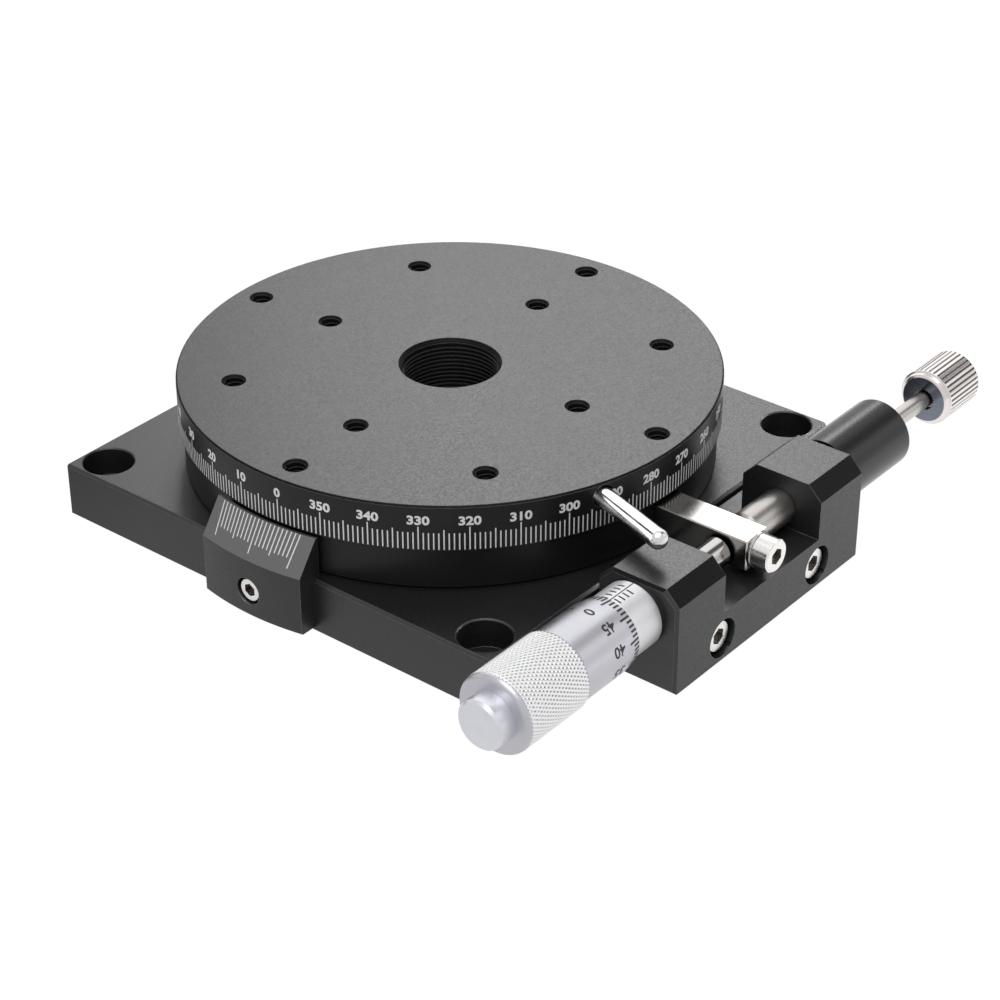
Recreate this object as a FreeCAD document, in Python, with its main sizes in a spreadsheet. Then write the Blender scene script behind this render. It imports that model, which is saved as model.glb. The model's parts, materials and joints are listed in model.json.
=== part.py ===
import FreeCAD, Part
import math
import os
import Sketcher

V = FreeCAD.Vector
doc = FreeCAD.newDocument("rotation_stage")
sheet = doc.addObject("Spreadsheet::Sheet", "Sizes")
sheet.Label = "Sizes"

# Driving sizes in millimetres and degrees. The origin is on the rotation axis at the base's underside.
SIZES = [
    ("base_side", 90), ("base_top", 9.3), ("base_edge", 0.45), ("corner_pitch", 80), ("corner_hole_r", 2.25), ("corner_cbore_r", 4.25), ("corner_cbore_floor", 4.3), ("cbore_bevel", 0.2),
    ("race_seat_r", 34.3), ("race_floor_z", 3.55), ("race_wall", 7.15), ("race_gap", 0.35), ("pitch_r", "race_seat_r - race_wall"), ("lower_bore_r", "pitch_r + race_gap"),
    ("cover_ledge", 3.95), ("cover_seat_r", "lower_bore_r + cover_ledge"), ("cover_top_z", 1.05), ("cover_screw_r", "lower_bore_r + cover_ledge/2 - 0.05"), ("race_screw_r", "race_seat_r - 2.45"),
    ("ring_r", 43.95), ("ring_bottom_z", 9.45), ("ring_top_z", 16.35), ("inner_race_wall", 4.3), ("spigot_r", "pitch_r - race_gap - inner_race_wall"), ("spigot_wall", 5.25),
    ("ring_bore_r", "spigot_r - spigot_wall"), ("collar_in_r", 28.55), ("collar_out_r", 31.45), ("collar_top_z", 22.85),
    ("roller_z", 6.45), ("roller_r", 1.45), ("roller_play", 0.03), ("roller_count", 24), ("clamp_screw_r", "spigot_r - 1.65"), ("clamp_in_r", "clamp_screw_r - 1.8"), ("clamp_out_r", "pitch_r - 1.15"),
    ("table_r", 44.65), ("table_top_z", 24.5), ("table_low_z", 16.5), ("table_turned", 3.65), ("thread_r", 7.85), ("thread_mouth_r", 8.5), ("thread_low_z", 14),
    ("boss_r", 10), ("flange_top_z", 20), ("groove_in_r", 28.15), ("groove_out_r", 31.85), ("groove_top_z", 23.05),
    ("tap_r", 1.65), ("tap_mouth_r", 2.05), ("tap_floor_z", 17.7), ("inner_tap_pitch_r", 25), ("diagonal_tap_pitch_r", 35.35), ("outer_tap_pitch_r", 40),
    ("journal_play", 0.05), ("hub_journal_r", "ring_bore_r - journal_play"), ("hub_shoulder", 4.85), ("hub_flange_r", "hub_journal_r + hub_shoulder"), ("flange_seat_r", "hub_flange_r + 0.1"),
    ("hub_flange_low_z", 16.7), ("hub_tail_r", "hub_journal_r - 1.5"), ("hub_shoulder_z", 3.2), ("hub_low_z", 1.7), ("hub_seat_r", "boss_r + journal_play"), ("hub_bore_r", 8.2),
    ("hub_screw_r", "hub_flange_r - 2.5"), ("hub_screw_turn", 22),
    ("lock_azimuth", -112.4), ("lock_z", 22.1), ("lock_bore_r", 1.45), ("pin_r", 1.6), ("pin_end", 60.45), ("pin_screw_r", 1.4),
    ("arm_left", 3.5), ("arm_right", 2.2), ("arm_low_z", 10.7), ("arm_top_z", 16), ("arm_end", 61.5), ("arm_step_z", 12.85), ("arm_step_y", 43.15), ("arm_root", 34.45),
    ("end_screw_z", 13.5), ("end_washer_r", 2.95), ("end_washer_thick", 0.55), ("end_head_r", 2.75), ("end_head_high", 3.05),
    ("bracket_half", 25.15), ("bracket_deep", 19.15), ("bracket_inner_y", "base_side/2"), ("bracket_outer_y", "bracket_inner_y + bracket_deep"), ("post_step", 4.45),
    ("post_inner_y", "bracket_inner_y + post_step"), ("bracket_low_z", 0.7), ("bracket_top_z", 18.55), ("pocket_floor_z", 9.3),
    ("pocket_half", 12.95), ("bracket_bevel", 2.5), ("floor_bevel", 1.3), ("axis_step", 11.6), ("axis_y", "bracket_inner_y + axis_step"), ("axis_z", 12.85), ("bracket_screw_x", 12.95), ("bracket_screw_z", 4.65),
    ("sleeve_seat_r", 4.3), ("sleeve_r", 5.4), ("sleeve_end", 42.85), ("spindle_r", 2.45), ("spindle_tip", 3.6), ("thimble_edge", 32), ("thimble_r", 6.1), ("knurl_r", 6.5),
    ("knurl_start", 44.6), ("thimble_face", 58.6), ("cap_end", 61.75), ("cap_r", 4.05), ("plunger_r", 3), ("plunger_tip", 2.3), ("plunger_tail", 29.3), ("housing_r", 5.9),
    ("housing_end", 42.35), ("housing_seat_r", 4.65), ("housing_seat_x", 17.15), ("housing_wall_x", 40.35), ("rod_r", 1.45), ("knob_near", 56.1), ("knob_long", 10.45), ("knob_far", "knob_near + knob_long"), ("knob_r", 4.85),
    ("flute_count", 36), ("spring_r", 2.3), ("spring_wire", 0.55), ("spring_turns", 6),
    ("vernier_half", 10.2), ("vernier_gap", 0.95), ("vernier_back_r", "ring_r + vernier_gap"), ("vernier_lip", 0.5), ("vernier_edge_r", "vernier_back_r + vernier_lip"), ("vernier_deep", 3.5),
    ("vernier_r", "max(vernier_edge_r + vernier_deep; base_side/2 + vernier_deep + 0.7)"), ("vernier_low_z", 0.7), ("vernier_cone_z", 10.9), ("vernier_edge_z", "ring_top_z + 0.05"), ("vernier_screw_z", 5.15), ("barrel_grub_x", 18.8),
    ("housing_grub_x", 21.05),
]
for row, (alias, value) in enumerate(SIZES, start=1):
    sheet.set("A%d" % row, alias)
    sheet.set("B%d" % row, "=" + value if isinstance(value, str) else repr(value))
    sheet.setAlias("B%d" % row, alias)
doc.recompute()
size = dict(SIZES)


def linked(text):
    """An expression in which each alias is named through the sheet."""
    out, word = "", ""
    for c in str(text) + " ":
        if c.isalnum() or c in "_.":
            word += c
        else:
            out += ("Sizes." + word if word in size else word) + c
            word = ""
    return out.strip()


def number(text):
    """The number that such an expression gives now."""
    got = sheet.evalExpression(linked(text))
    return float(getattr(got, "Value", got))


nodes = []


def body(label, placed=None, turned=None, compound=False):
    b = doc.addObject("PartDesign::Body", label)
    b.Label = label
    if compound:
        b.AllowCompound = True
    if turned:
        axis, angle = turned
        b.Placement = FreeCAD.Placement(V(0, 0, 0), FreeCAD.Rotation(V(*axis), number(angle)))
        b.setExpression(".Placement.Rotation.Angle", linked(angle))
    for key, text in (placed or {}).items():
        b.setExpression(".Placement.Base." + key, linked(text))
    nodes.append(b)
    return b


def origin_part(b, role):
    return [o for o in b.Origin.OriginFeatures if o.Role == role][0]


def sketch(b, plane, loops=(), circles=(), axis=None, offset=None, turn=None):
    """A sketch of closed polygons and circles, each point held by two distances that follow the sheet."""
    s = b.newObject("Sketcher::SketchObject", b.Name + "_sketch")
    s.AttachmentSupport = (origin_part(b, plane), [""])
    s.MapMode = "FlatFace"
    if turn is not None:
        s.AttachmentOffset = FreeCAD.Placement(V(0, 0, 0), FreeCAD.Rotation(V(0, 1, 0), number(turn)))
        s.setExpression(".AttachmentOffset.Rotation.Angle", linked(turn))
    if offset is not None:
        s.setExpression(".AttachmentOffset.Base.z", linked(offset))
    held = []

    def hold(kind, geo, pos, text):
        s.addConstraint(Sketcher.Constraint(kind, -1, 1, geo, pos, number(text)))
        held.append((s.ConstraintCount - 1, text))

    for loop in loops:
        pts = [V(number(x), number(y), 0) for x, y in loop]
        first = s.GeometryCount
        for k in range(len(pts)):
            s.addGeometry(Part.LineSegment(pts[k], pts[(k + 1) % len(pts)]))
        for k in range(len(pts)):
            s.addConstraint(Sketcher.Constraint("Coincident", first + k, 2, first + (k + 1) % len(pts), 1))
        for k, (x, y) in enumerate(loop):
            hold("DistanceX", first + k, 1, x)
            hold("DistanceY", first + k, 1, y)
    for x, y, r in circles:
        g = s.addGeometry(Part.Circle(V(number(x), number(y), 0), V(0, 0, 1), number(r)))
        hold("DistanceX", g, 3, x)
        hold("DistanceY", g, 3, y)
        s.addConstraint(Sketcher.Constraint("Radius", g, number(r)))
        held.append((s.ConstraintCount - 1, r))
    if axis:
        (x0, y0), (x1, y1) = axis
        g = s.addGeometry(Part.LineSegment(V(number(x0), number(y0), 0), V(number(x1), number(y1), 0)), True)
        hold("DistanceX", g, 1, x0)
        hold("DistanceY", g, 1, y0)
        hold("DistanceX", g, 2, x1)
        hold("DistanceY", g, 2, y1)
    for index, text in held:
        s.setExpression("Constraints[%d]" % index, linked(text))
    return s


def feature(b, kind, profile, **values):
    f = b.newObject("PartDesign::" + kind, b.Name + "_" + kind.lower())
    if profile is not None:
        f.Profile = (profile, [""])
        profile.Visibility = False
    for key, val in values.items():
        if key == "exprs":
            for name, text in val.items():
                f.setExpression(name, linked(text))
        else:
            setattr(f, key, val)
    b.Tip = f
    return f


def revolve(b, plane, loop, about="V_Axis", cut=False, axis=None, angle=360, **kw):
    s = sketch(b, plane, [loop], axis=axis, **kw)
    f = feature(b, "Groove" if cut else "Revolution", s, Angle=angle)
    f.ReferenceAxis = (s, ["Axis0" if axis else about])
    return f


def pad(b, s, length, midplane=False, reverse=False):
    f = feature(b, "Pad", s, exprs={"Length": length})
    f.SideType = "Symmetric" if midplane else "One side"
    f.Reversed = reverse
    return f


def pocket(b, s, length, midplane=False, reverse=False):
    f = feature(b, "Pocket", s, exprs={"Length": length})
    f.SideType = "Symmetric" if midplane else "One side"
    f.Reversed = reverse
    return f


def polar(b, features, count, angle=360):
    f = b.newObject("PartDesign::PolarPattern", b.Name + "_polar")
    f.Originals = list(features)
    f.Axis = (origin_part(b, "Z_Axis"), [""])
    f.Angle = angle
    b.Tip = f
    f.setExpression("Occurrences", linked(count))
    return f


def mirrored(b, features, plane="YZ_Plane"):
    f = b.newObject("PartDesign::Mirrored", b.Name + "_mirror")
    f.Originals = list(features)
    f.MirrorPlane = (origin_part(b, plane), [""])
    b.Tip = f
    return f


def edges(b, test):
    doc.recompute()
    return ["Edge%d" % (k + 1) for k, e in enumerate(b.Tip.Shape.Edges) if test(e)]


def bevel(b, test, text, kind="Chamfer"):
    names = edges(b, test)
    if not names:
        raise SystemExit("no edge to bevel on " + b.Label)
    before = b.Tip
    f = b.newObject("PartDesign::" + kind, b.Name + "_" + kind.lower())
    f.Base = (before, names)
    f.setExpression("Size" if kind == "Chamfer" else "Radius", linked(text))
    b.Tip = f
    return f


def at_z(e, z):
    return all(abs(v.Z - z) < 1e-6 for v in e.Vertexes) and abs(e.BoundBox.ZMax - e.BoundBox.ZMin) < 1e-6


def box_loop(x0, y0, x1, y1):
    return [(x0, y0), (x1, y0), (x1, y1), (x0, y1)]


def hexagon(cx, cy, across, depth_sign=1):
    r = "(%s)/cos(30)/2" % across
    return [("%s + %s*cos(%d)" % (cx, r, a), "%s + %s*sin(%d)" % (cy, r, a)) for a in range(30, 390, 60)]


# Base plate: square, four counterbored corner holes, stepped seat for the bearing and the cover.
base = body("base_plate")
pad(base, sketch(base, "XY_Plane", [box_loop("-base_side/2", "-base_side/2", "base_side/2", "base_side/2")]), "base_top")
bevel(base, lambda e: at_z(e, size["base_top"]) or abs(e.BoundBox.ZMax - e.BoundBox.ZMin) > 5, "base_edge")
revolve(base, "XZ_Plane", [("0", "-0.7"), ("cover_seat_r", "-0.7"), ("cover_seat_r", "cover_top_z"), ("lower_bore_r", "cover_top_z"), ("lower_bore_r", "race_floor_z"),
                           ("race_seat_r", "race_floor_z"), ("race_seat_r", "base_top + 0.7"), ("0", "base_top + 0.7")], cut=True)
corner = revolve(base, "XZ_Plane", [("corner_pitch/2", "-0.7"), ("corner_pitch/2 + corner_hole_r", "-0.7"), ("corner_pitch/2 + corner_hole_r", "corner_cbore_floor"),
                                    ("corner_pitch/2 + corner_cbore_r", "corner_cbore_floor"), ("corner_pitch/2 + corner_cbore_r", "base_top - cbore_bevel"),
                                    ("corner_pitch/2 + corner_cbore_r + cbore_bevel", "base_top"), ("corner_pitch/2 + corner_cbore_r + cbore_bevel", "base_top + 0.7"),
                                    ("corner_pitch/2", "base_top + 0.7")], cut=True, axis=(("corner_pitch/2", "0"), ("corner_pitch/2", "5")), offset="corner_pitch/2")
polar(base, [corner], "4")
race_tap = feature(base, "Pocket", sketch(base, "XY_Plane", circles=[("race_screw_r*cos(15)", "race_screw_r*sin(15)", "0.75")], offset="race_floor_z"), exprs={"Length": "2"})
polar(base, [race_tap], "6")
cover_tap = feature(base, "Pocket", sketch(base, "XY_Plane", circles=[("cover_screw_r", "0", "0.75")], offset="cover_top_z"), exprs={"Length": "2"})
cover_tap.Reversed = True
polar(base, [cover_tap], "4")
side_taps = sketch(base, "XZ_Plane", circles=[("-bracket_screw_x", "bracket_screw_z", "1.2"), ("bracket_screw_x", "bracket_screw_z", "1.2")], offset="race_seat_r + 1.45")
pocket(base, side_taps, "base_side/2 - race_seat_r - 1.05", reverse=True)
vernier_tap = sketch(base, "YZ_Plane", circles=[("0", "vernier_screw_z", "0.9")], offset="-base_side/2 - 0.35")
pocket(base, vernier_tap, "base_side/2 - race_seat_r - 2.5", reverse=True)

# Cover under the bearing, with its flat-head screws.
cover = body("bottom_cover")
revolve(cover, "XZ_Plane", [("hub_bore_r + 0.45", "0.1"), ("cover_seat_r - 0.1", "0.1"), ("cover_seat_r - 0.1", "cover_top_z"), ("hub_bore_r + 0.45", "cover_top_z")])
seat = revolve(cover, "XZ_Plane", [("cover_screw_r", "0"), ("cover_screw_r + 1.55", "0"), ("cover_screw_r + 1.55", "0.2"), ("cover_screw_r + 0.95", "0.75"), ("cover_screw_r + 0.95", "1.45"), ("cover_screw_r", "1.45")], cut=True,
               axis=(("cover_screw_r", "0"), ("cover_screw_r", "5")))
polar(cover, [seat], "4")
cover_screws = body("cover_screws", compound=True)
one = revolve(cover_screws, "XZ_Plane", [("cover_screw_r", "0.1"), ("cover_screw_r + 1.5", "0.1"), ("cover_screw_r + 0.75", "0.8"), ("cover_screw_r + 0.7", "1.15"), ("cover_screw_r + 0.7", "3"), ("cover_screw_r", "3")],
              axis=(("cover_screw_r", "0"), ("cover_screw_r", "5")))
polar(cover_screws, [one], "4")

# Outer race in the base and its screws.
race = body("outer_race")
cut_r = "(roller_r + roller_play)*1.41421356"
revolve(race, "XZ_Plane", [("pitch_r + race_gap", "race_floor_z"), ("race_seat_r - 0.02", "race_floor_z"), ("race_seat_r - 0.02", "base_top - 0.05"), ("pitch_r + race_gap", "base_top - 0.05"),
                           ("pitch_r + race_gap", "roller_z + %s - race_gap" % cut_r), ("pitch_r + %s" % cut_r, "roller_z"), ("pitch_r + race_gap", "roller_z - %s + race_gap" % cut_r)])
seat = revolve(race, "XZ_Plane", [("race_screw_r", "2.85"), ("race_screw_r + 0.95", "2.85"), ("race_screw_r + 0.95", "base_top - 1.85"), ("race_screw_r + 1.65", "base_top - 1.85"), ("race_screw_r + 1.65", "base_top + 0.7"),
                              ("race_screw_r", "base_top + 0.7")], cut=True, axis=(("race_screw_r", "0"), ("race_screw_r", "5")))
seat.Profile[0].AttachmentOffset = FreeCAD.Placement(V(0, 0, 0), FreeCAD.Rotation(V(0, 1, 0), 15))
polar(race, [seat], "6")
race_screws = body("race_screws", compound=True)
one = revolve(race_screws, "XZ_Plane", [("race_screw_r", "race_floor_z - 1.85"), ("race_screw_r + 0.7", "race_floor_z - 1.85"), ("race_screw_r + 0.7", "race_floor_z"), ("race_screw_r + 0.9", "race_floor_z + 0.15"),
                                     ("race_screw_r + 0.9", "base_top - 1.85"), ("race_screw_r + 1.55", "base_top - 1.85"), ("race_screw_r + 1.55", "base_top - 0.2"), ("race_screw_r", "base_top - 0.2")],
              axis=(("race_screw_r", "0"), ("race_screw_r", "5")))
one.Profile[0].AttachmentOffset = FreeCAD.Placement(V(0, 0, 0), FreeCAD.Rotation(V(0, 1, 0), 15))
hexa = sketch(race_screws, "XY_Plane", [hexagon("race_screw_r*cos(15)", "race_screw_r*sin(15)", "1.5")], offset="base_top - 0.2")
hexp = pocket(race_screws, hexa, "0.95")
polar(race_screws, [one, hexp], "6")

# Crossed rollers, every second one leaning the other way.
rollers = body("bearing_rollers", compound=True)
lean = "0.70710678"
half_len = "(roller_r - 0.06)"


def roller(sign):
    dx, dz = "%s*%s" % (half_len, lean), "%s*%s*%d" % (half_len, lean, sign)
    ox, oz = "roller_r*%s" % lean, "roller_r*%s*%d" % (lean, -sign)
    loop = [("pitch_r - %s" % dx, "roller_z - %s" % dz), ("pitch_r + %s" % dx, "roller_z + %s" % dz),
            ("pitch_r + %s + %s" % (dx, ox), "roller_z + %s + %s" % (dz, oz)), ("pitch_r - %s + %s" % (dx, ox), "roller_z - %s + %s" % (dz, oz))]
    return loop, (("pitch_r - %s" % dx, "roller_z - %s" % dz), ("pitch_r + %s" % dx, "roller_z + %s" % dz))


loop, line = roller(1)
up = revolve(rollers, "XZ_Plane", loop, axis=line)
loop, line = roller(-1)
down = revolve(rollers, "XZ_Plane", loop, axis=line)
down.Profile[0].AttachmentOffset = FreeCAD.Placement(V(0, 0, 0), FreeCAD.Rotation(V(0, 1, 0), 15))
down.Profile[0].setExpression(".AttachmentOffset.Rotation.Angle", linked("360/roller_count"))
polar(rollers, [up, down], "roller_count/2")

# Fine drive ring with its collar, spigot and slot for the arm.
ring = body("drive_ring")
revolve(ring, "XZ_Plane", [("ring_bore_r", "race_floor_z"), ("spigot_r", "race_floor_z"), ("spigot_r", "ring_bottom_z"), ("ring_r - 0.3", "ring_bottom_z"), ("ring_r", "ring_bottom_z + 0.3"),
                           ("ring_r", "ring_top_z"), ("collar_out_r", "ring_top_z"), ("collar_out_r", "collar_top_z"), ("collar_in_r", "collar_top_z"), ("collar_in_r", "ring_top_z"),
                           ("ring_bore_r", "ring_top_z")])
slot = sketch(ring, "XY_Plane", [box_loop("-arm_left - 0.03", "-arm_root + 0.1", "arm_right + 0.03", "-ring_r - 2.15")], offset="ring_top_z")
pocket(ring, slot, "ring_top_z - arm_step_z")
deep = sketch(ring, "XY_Plane", [box_loop("-arm_left - 0.03", "-arm_step_y + 0.05", "arm_right + 0.03", "-ring_r - 2.15")], offset="ring_top_z")
pocket(ring, deep, "ring_top_z - arm_low_z")
arm_x = "((arm_right - arm_left)/2)"
taps = sketch(ring, "XY_Plane", circles=[(arm_x, "-36.7", "0.9"), (arm_x, "-40.85", "0.9")], offset="arm_step_z")
pocket(ring, taps, "2.85")
clamp_tap = feature(ring, "Pocket", sketch(ring, "XY_Plane", circles=[("clamp_screw_r", "0", "0.75")], offset="race_floor_z"), exprs={"Length": "4.3"})
clamp_tap.Reversed = True
polar(ring, [clamp_tap], "6")

inner = body("inner_race")
revolve(inner, "XZ_Plane", [("spigot_r + 0.02", "race_floor_z"), ("pitch_r - race_gap", "race_floor_z"), ("pitch_r - race_gap", "roller_z - %s + race_gap" % cut_r), ("pitch_r - %s" % cut_r, "roller_z"),
                            ("pitch_r - race_gap", "roller_z + %s - race_gap" % cut_r), ("pitch_r - race_gap", "ring_bottom_z"), ("spigot_r + 0.02", "ring_bottom_z")])
clamp = body("clamp_ring")
revolve(clamp, "XZ_Plane", [("clamp_in_r", "race_floor_z - 1.15"), ("clamp_out_r", "race_floor_z - 1.15"), ("clamp_out_r", "race_floor_z"), ("clamp_in_r", "race_floor_z")])
seat = feature(clamp, "Pocket", sketch(clamp, "XY_Plane", circles=[("clamp_screw_r", "0", "0.95")], offset="race_floor_z - 1.45"), exprs={"Length": "2.15"})
seat.Reversed = True
polar(clamp, [seat], "6")
clamp_screws = body("clamp_screws", compound=True)
one = revolve(clamp_screws, "XZ_Plane", [("clamp_screw_r", "race_floor_z - 2.3"), ("clamp_screw_r + 1.45", "race_floor_z - 2.3"), ("clamp_screw_r + 1.55", "race_floor_z - 2.15"), ("clamp_screw_r + 1.55", "race_floor_z - 1.15"),
                                      ("clamp_screw_r + 0.9", "race_floor_z - 1.15"), ("clamp_screw_r + 0.7", "race_floor_z - 0.1"), ("clamp_screw_r + 0.7", "race_floor_z + 3.55"), ("clamp_screw_r", "race_floor_z + 3.55")],
              axis=(("clamp_screw_r", "0"), ("clamp_screw_r", "5")))
hexa = sketch(clamp_screws, "XY_Plane", [hexagon("clamp_screw_r", "0", "1.5")], offset="race_floor_z - 2.3")
hexp = pocket(clamp_screws, hexa, "0.65", reverse=True)
polar(clamp_screws, [one, hexp], "6")

# Drive arm with its fixing screws, end washer and end screw.
arm = body("drive_arm")
arm_loop = [("-arm_root", "arm_step_z"), ("-arm_root", "arm_top_z"), ("-arm_end", "arm_top_z"), ("-arm_end", "arm_low_z"), ("-arm_step_y", "arm_low_z"), ("-arm_step_y", "arm_step_z")]
pad(arm, sketch(arm, "YZ_Plane", [arm_loop], offset="-arm_left"), "arm_left + arm_right")
bevel(arm, lambda e: (abs(e.BoundBox.YMin + size["arm_end"]) < 1e-6 and abs(e.BoundBox.YMax + size["arm_end"]) < 1e-6)
      or (at_z(e, size["arm_top_z"]) and e.Length > 15) or (at_z(e, size["arm_low_z"]) and e.Length > 15), "0.2")
fix = sketch(arm, "XY_Plane", circles=[(arm_x, "-36.7", "1.7"), (arm_x, "-40.85", "1.7")], offset="arm_top_z")
pocket(arm, fix, "1.55")
fix = sketch(arm, "XY_Plane", circles=[(arm_x, "-36.7", "0.95"), (arm_x, "-40.85", "0.95")], offset="arm_top_z")
pocket(arm, fix, "4.3")
end_tap = sketch(arm, "XZ_Plane", circles=[(arm_x, "end_screw_z", "1.2")], offset="arm_end")
pocket(arm, end_tap, "6.45", reverse=False)
arm_screws = body("arm_screws", compound=True)
one = revolve(arm_screws, "YZ_Plane", [("-36.7", "10.3"), ("-35.95", "10.3"), ("-35.95", "12.65"), ("-35.8", "12.8"), ("-35.8", "14.45"), ("-35.05", "14.45"), ("-35.05", "15.7"), ("-36.7", "15.7")],
              axis=(("-36.7", "0"), ("-36.7", "5")), offset=arm_x)
two = revolve(arm_screws, "YZ_Plane", [("-40.85", "10.3"), ("-40.1", "10.3"), ("-40.1", "12.65"), ("-39.95", "12.8"), ("-39.95", "14.45"), ("-39.2", "14.45"), ("-39.2", "15.7"), ("-40.85", "15.7")],
              axis=(("-40.85", "0"), ("-40.85", "5")), offset=arm_x)
hexa = sketch(arm_screws, "XY_Plane", [hexagon(arm_x, "-36.7", "1.5"), hexagon(arm_x, "-40.85", "1.5")], offset="15.7")
pocket(arm_screws, hexa, "0.7")
washer = body("arm_washer", {"x": arm_x, "z": "end_screw_z"})
revolve(washer, "YZ_Plane", [("-arm_end - end_washer_thick", "1.5"), ("-arm_end - end_washer_thick", "end_washer_r - 0.1"), ("-arm_end - end_washer_thick + 0.1", "end_washer_r"),
                             ("-arm_end", "end_washer_r"), ("-arm_end", "1.5")], about="H_Axis")
end_screw = body("arm_end_screw", {"x": arm_x, "z": "end_screw_z"})
under = "-arm_end - end_washer_thick"
revolve(end_screw, "YZ_Plane", [("%s - end_head_high" % under, "0"), ("%s - end_head_high" % under, "end_head_r - 0.25"), ("%s - end_head_high + 0.25" % under, "end_head_r"), (under, "end_head_r"),
                                (under, "1.4"), ("-arm_end - 0.02", "1.4"), ("-arm_end", "1.15"), ("-arm_end + 5", "1.15"), ("-arm_end + 5", "0")], about="H_Axis")
pocket(end_screw, sketch(end_screw, "XZ_Plane", [hexagon("0", "0", "2.5")], offset="arm_end + end_washer_thick + end_head_high"), "1.55", reverse=False)

# Table, in its own frame: its zero mark lies on -X before the placement turns it.
table = body("table", turned=((0, 0, 1), "table_turned"))
revolve(table, "XZ_Plane", [("thread_r", "thread_low_z"), ("boss_r", "thread_low_z"), ("boss_r", "flange_top_z"), ("flange_seat_r", "flange_top_z"), ("flange_seat_r", "table_low_z"),
                            ("groove_in_r", "table_low_z"), ("groove_in_r", "groove_top_z"), ("groove_out_r", "groove_top_z"), ("groove_out_r", "table_low_z"), ("table_r - 0.2", "table_low_z"),
                            ("table_r", "table_low_z + 0.2"), ("table_r", "table_top_z - 0.3"), ("table_r - 0.3", "table_top_z"), ("thread_mouth_r", "table_top_z"),
                            ("thread_r", "table_top_z - 0.65")])


def tapped(b, r, count, turn="0"):
    loop = [(r, "tap_floor_z"), ("%s + tap_r" % r, "tap_floor_z"), ("%s + tap_r" % r, "table_top_z - 0.4"), ("%s + tap_mouth_r" % r, "table_top_z"), ("%s + tap_mouth_r" % r, "table_top_z + 0.7"),
            (r, "table_top_z + 0.7")]
    one = revolve(b, "XZ_Plane", loop, cut=True, axis=((r, "0"), (r, "5")), turn=turn)
    return polar(b, [one], count)


tapped(table, "inner_tap_pitch_r", "4")
tapped(table, "outer_tap_pitch_r", "4")
tapped(table, "diagonal_tap_pitch_r", "4", "45")
revolve(table, "XZ_Plane", [("0.7 - groove_out_r", "lock_z"), ("-table_r - 1.45", "lock_z"), ("-table_r - 1.45", "lock_z + pin_r + 0.3"), ("-table_r + 0.9", "lock_z + pin_r + 0.3"),
                           ("-table_r + 1.35", "lock_z + lock_bore_r"), ("0.7 - groove_out_r", "lock_z + lock_bore_r")], cut=True,
        axis=(("-28.55", "lock_z"), ("-42.85", "lock_z")), turn="lock_azimuth + 180")
hub_tap = feature(table, "Pocket", sketch(table, "XY_Plane", circles=[("hub_screw_r", "0", "0.9")], offset="flange_top_z"), exprs={"Length": "2.85"})
hub_tap.Reversed = True
hub_tap.Profile[0].AttachmentOffset = FreeCAD.Placement(V(0, 0, 20), FreeCAD.Rotation(V(0, 0, 1), 22))
hub_tap.Profile[0].setExpression(".AttachmentOffset.Base.z", linked("flange_top_z"))
hub_tap.Profile[0].setExpression(".AttachmentOffset.Rotation.Angle", linked("hub_screw_turn"))
polar(table, [hub_tap], "4")

hub = body("hub", turned=((0, 0, 1), "table_turned"))
revolve(hub, "XZ_Plane", [("hub_bore_r", "hub_low_z"), ("hub_tail_r", "hub_low_z"), ("hub_tail_r", "hub_shoulder_z"), ("hub_journal_r", "hub_shoulder_z"), ("hub_journal_r", "hub_flange_low_z"),
                          ("hub_flange_r", "hub_flange_low_z"), ("hub_flange_r", "flange_top_z"), ("hub_seat_r", "flange_top_z"), ("hub_seat_r", "thread_low_z - 0.05"),
                          ("hub_bore_r", "thread_low_z - 0.05")])
hub_hole = revolve(hub, "XZ_Plane", [("hub_screw_r", "hub_flange_low_z - 0.7"), ("hub_screw_r + 1.65", "hub_flange_low_z - 0.7"), ("hub_screw_r + 1.65", "hub_flange_low_z + 1.55"), ("hub_screw_r + 0.95", "hub_flange_low_z + 1.55"),
                                ("hub_screw_r + 0.95", "flange_top_z + 0.7"), ("hub_screw_r", "flange_top_z + 0.7")], cut=True, axis=(("hub_screw_r", "0"), ("hub_screw_r", "5")), turn="hub_screw_turn")
polar(hub, [hub_hole], "4")
hub_screws = body("hub_screws", turned=((0, 0, 1), "table_turned"), compound=True)
one = revolve(hub_screws, "XZ_Plane", [("hub_screw_r", "hub_flange_low_z + 0.2"), ("hub_screw_r + 1.55", "hub_flange_low_z + 0.2"), ("hub_screw_r + 1.55", "hub_flange_low_z + 1.55"), ("hub_screw_r + 0.9", "hub_flange_low_z + 1.55"),
                                   ("hub_screw_r + 0.9", "flange_top_z - 0.1"), ("hub_screw_r + 0.85", "flange_top_z + 2.45"), ("hub_screw_r", "flange_top_z + 2.45")],
              axis=(("hub_screw_r", "0"), ("hub_screw_r", "5")), turn="hub_screw_turn")
polar(hub_screws, [one], "4")
upper = body("upper_thrust_washer")
revolve(upper, "XZ_Plane", [("ring_bore_r + 0.1", "ring_top_z + 0.02"), ("hub_flange_r", "ring_top_z + 0.02"), ("hub_flange_r", "hub_flange_low_z"), ("ring_bore_r + 0.1", "hub_flange_low_z")])
lower = body("lower_thrust_washer")
revolve(lower, "XZ_Plane", [("ring_bore_r + 0.05", "hub_shoulder_z + 0.02"), ("clamp_in_r - 0.3", "hub_shoulder_z + 0.02"), ("clamp_in_r - 0.3", "race_floor_z - 0.02"), ("ring_bore_r + 0.05", "race_floor_z - 0.02")])
nut = body("retaining_nut")
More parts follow.
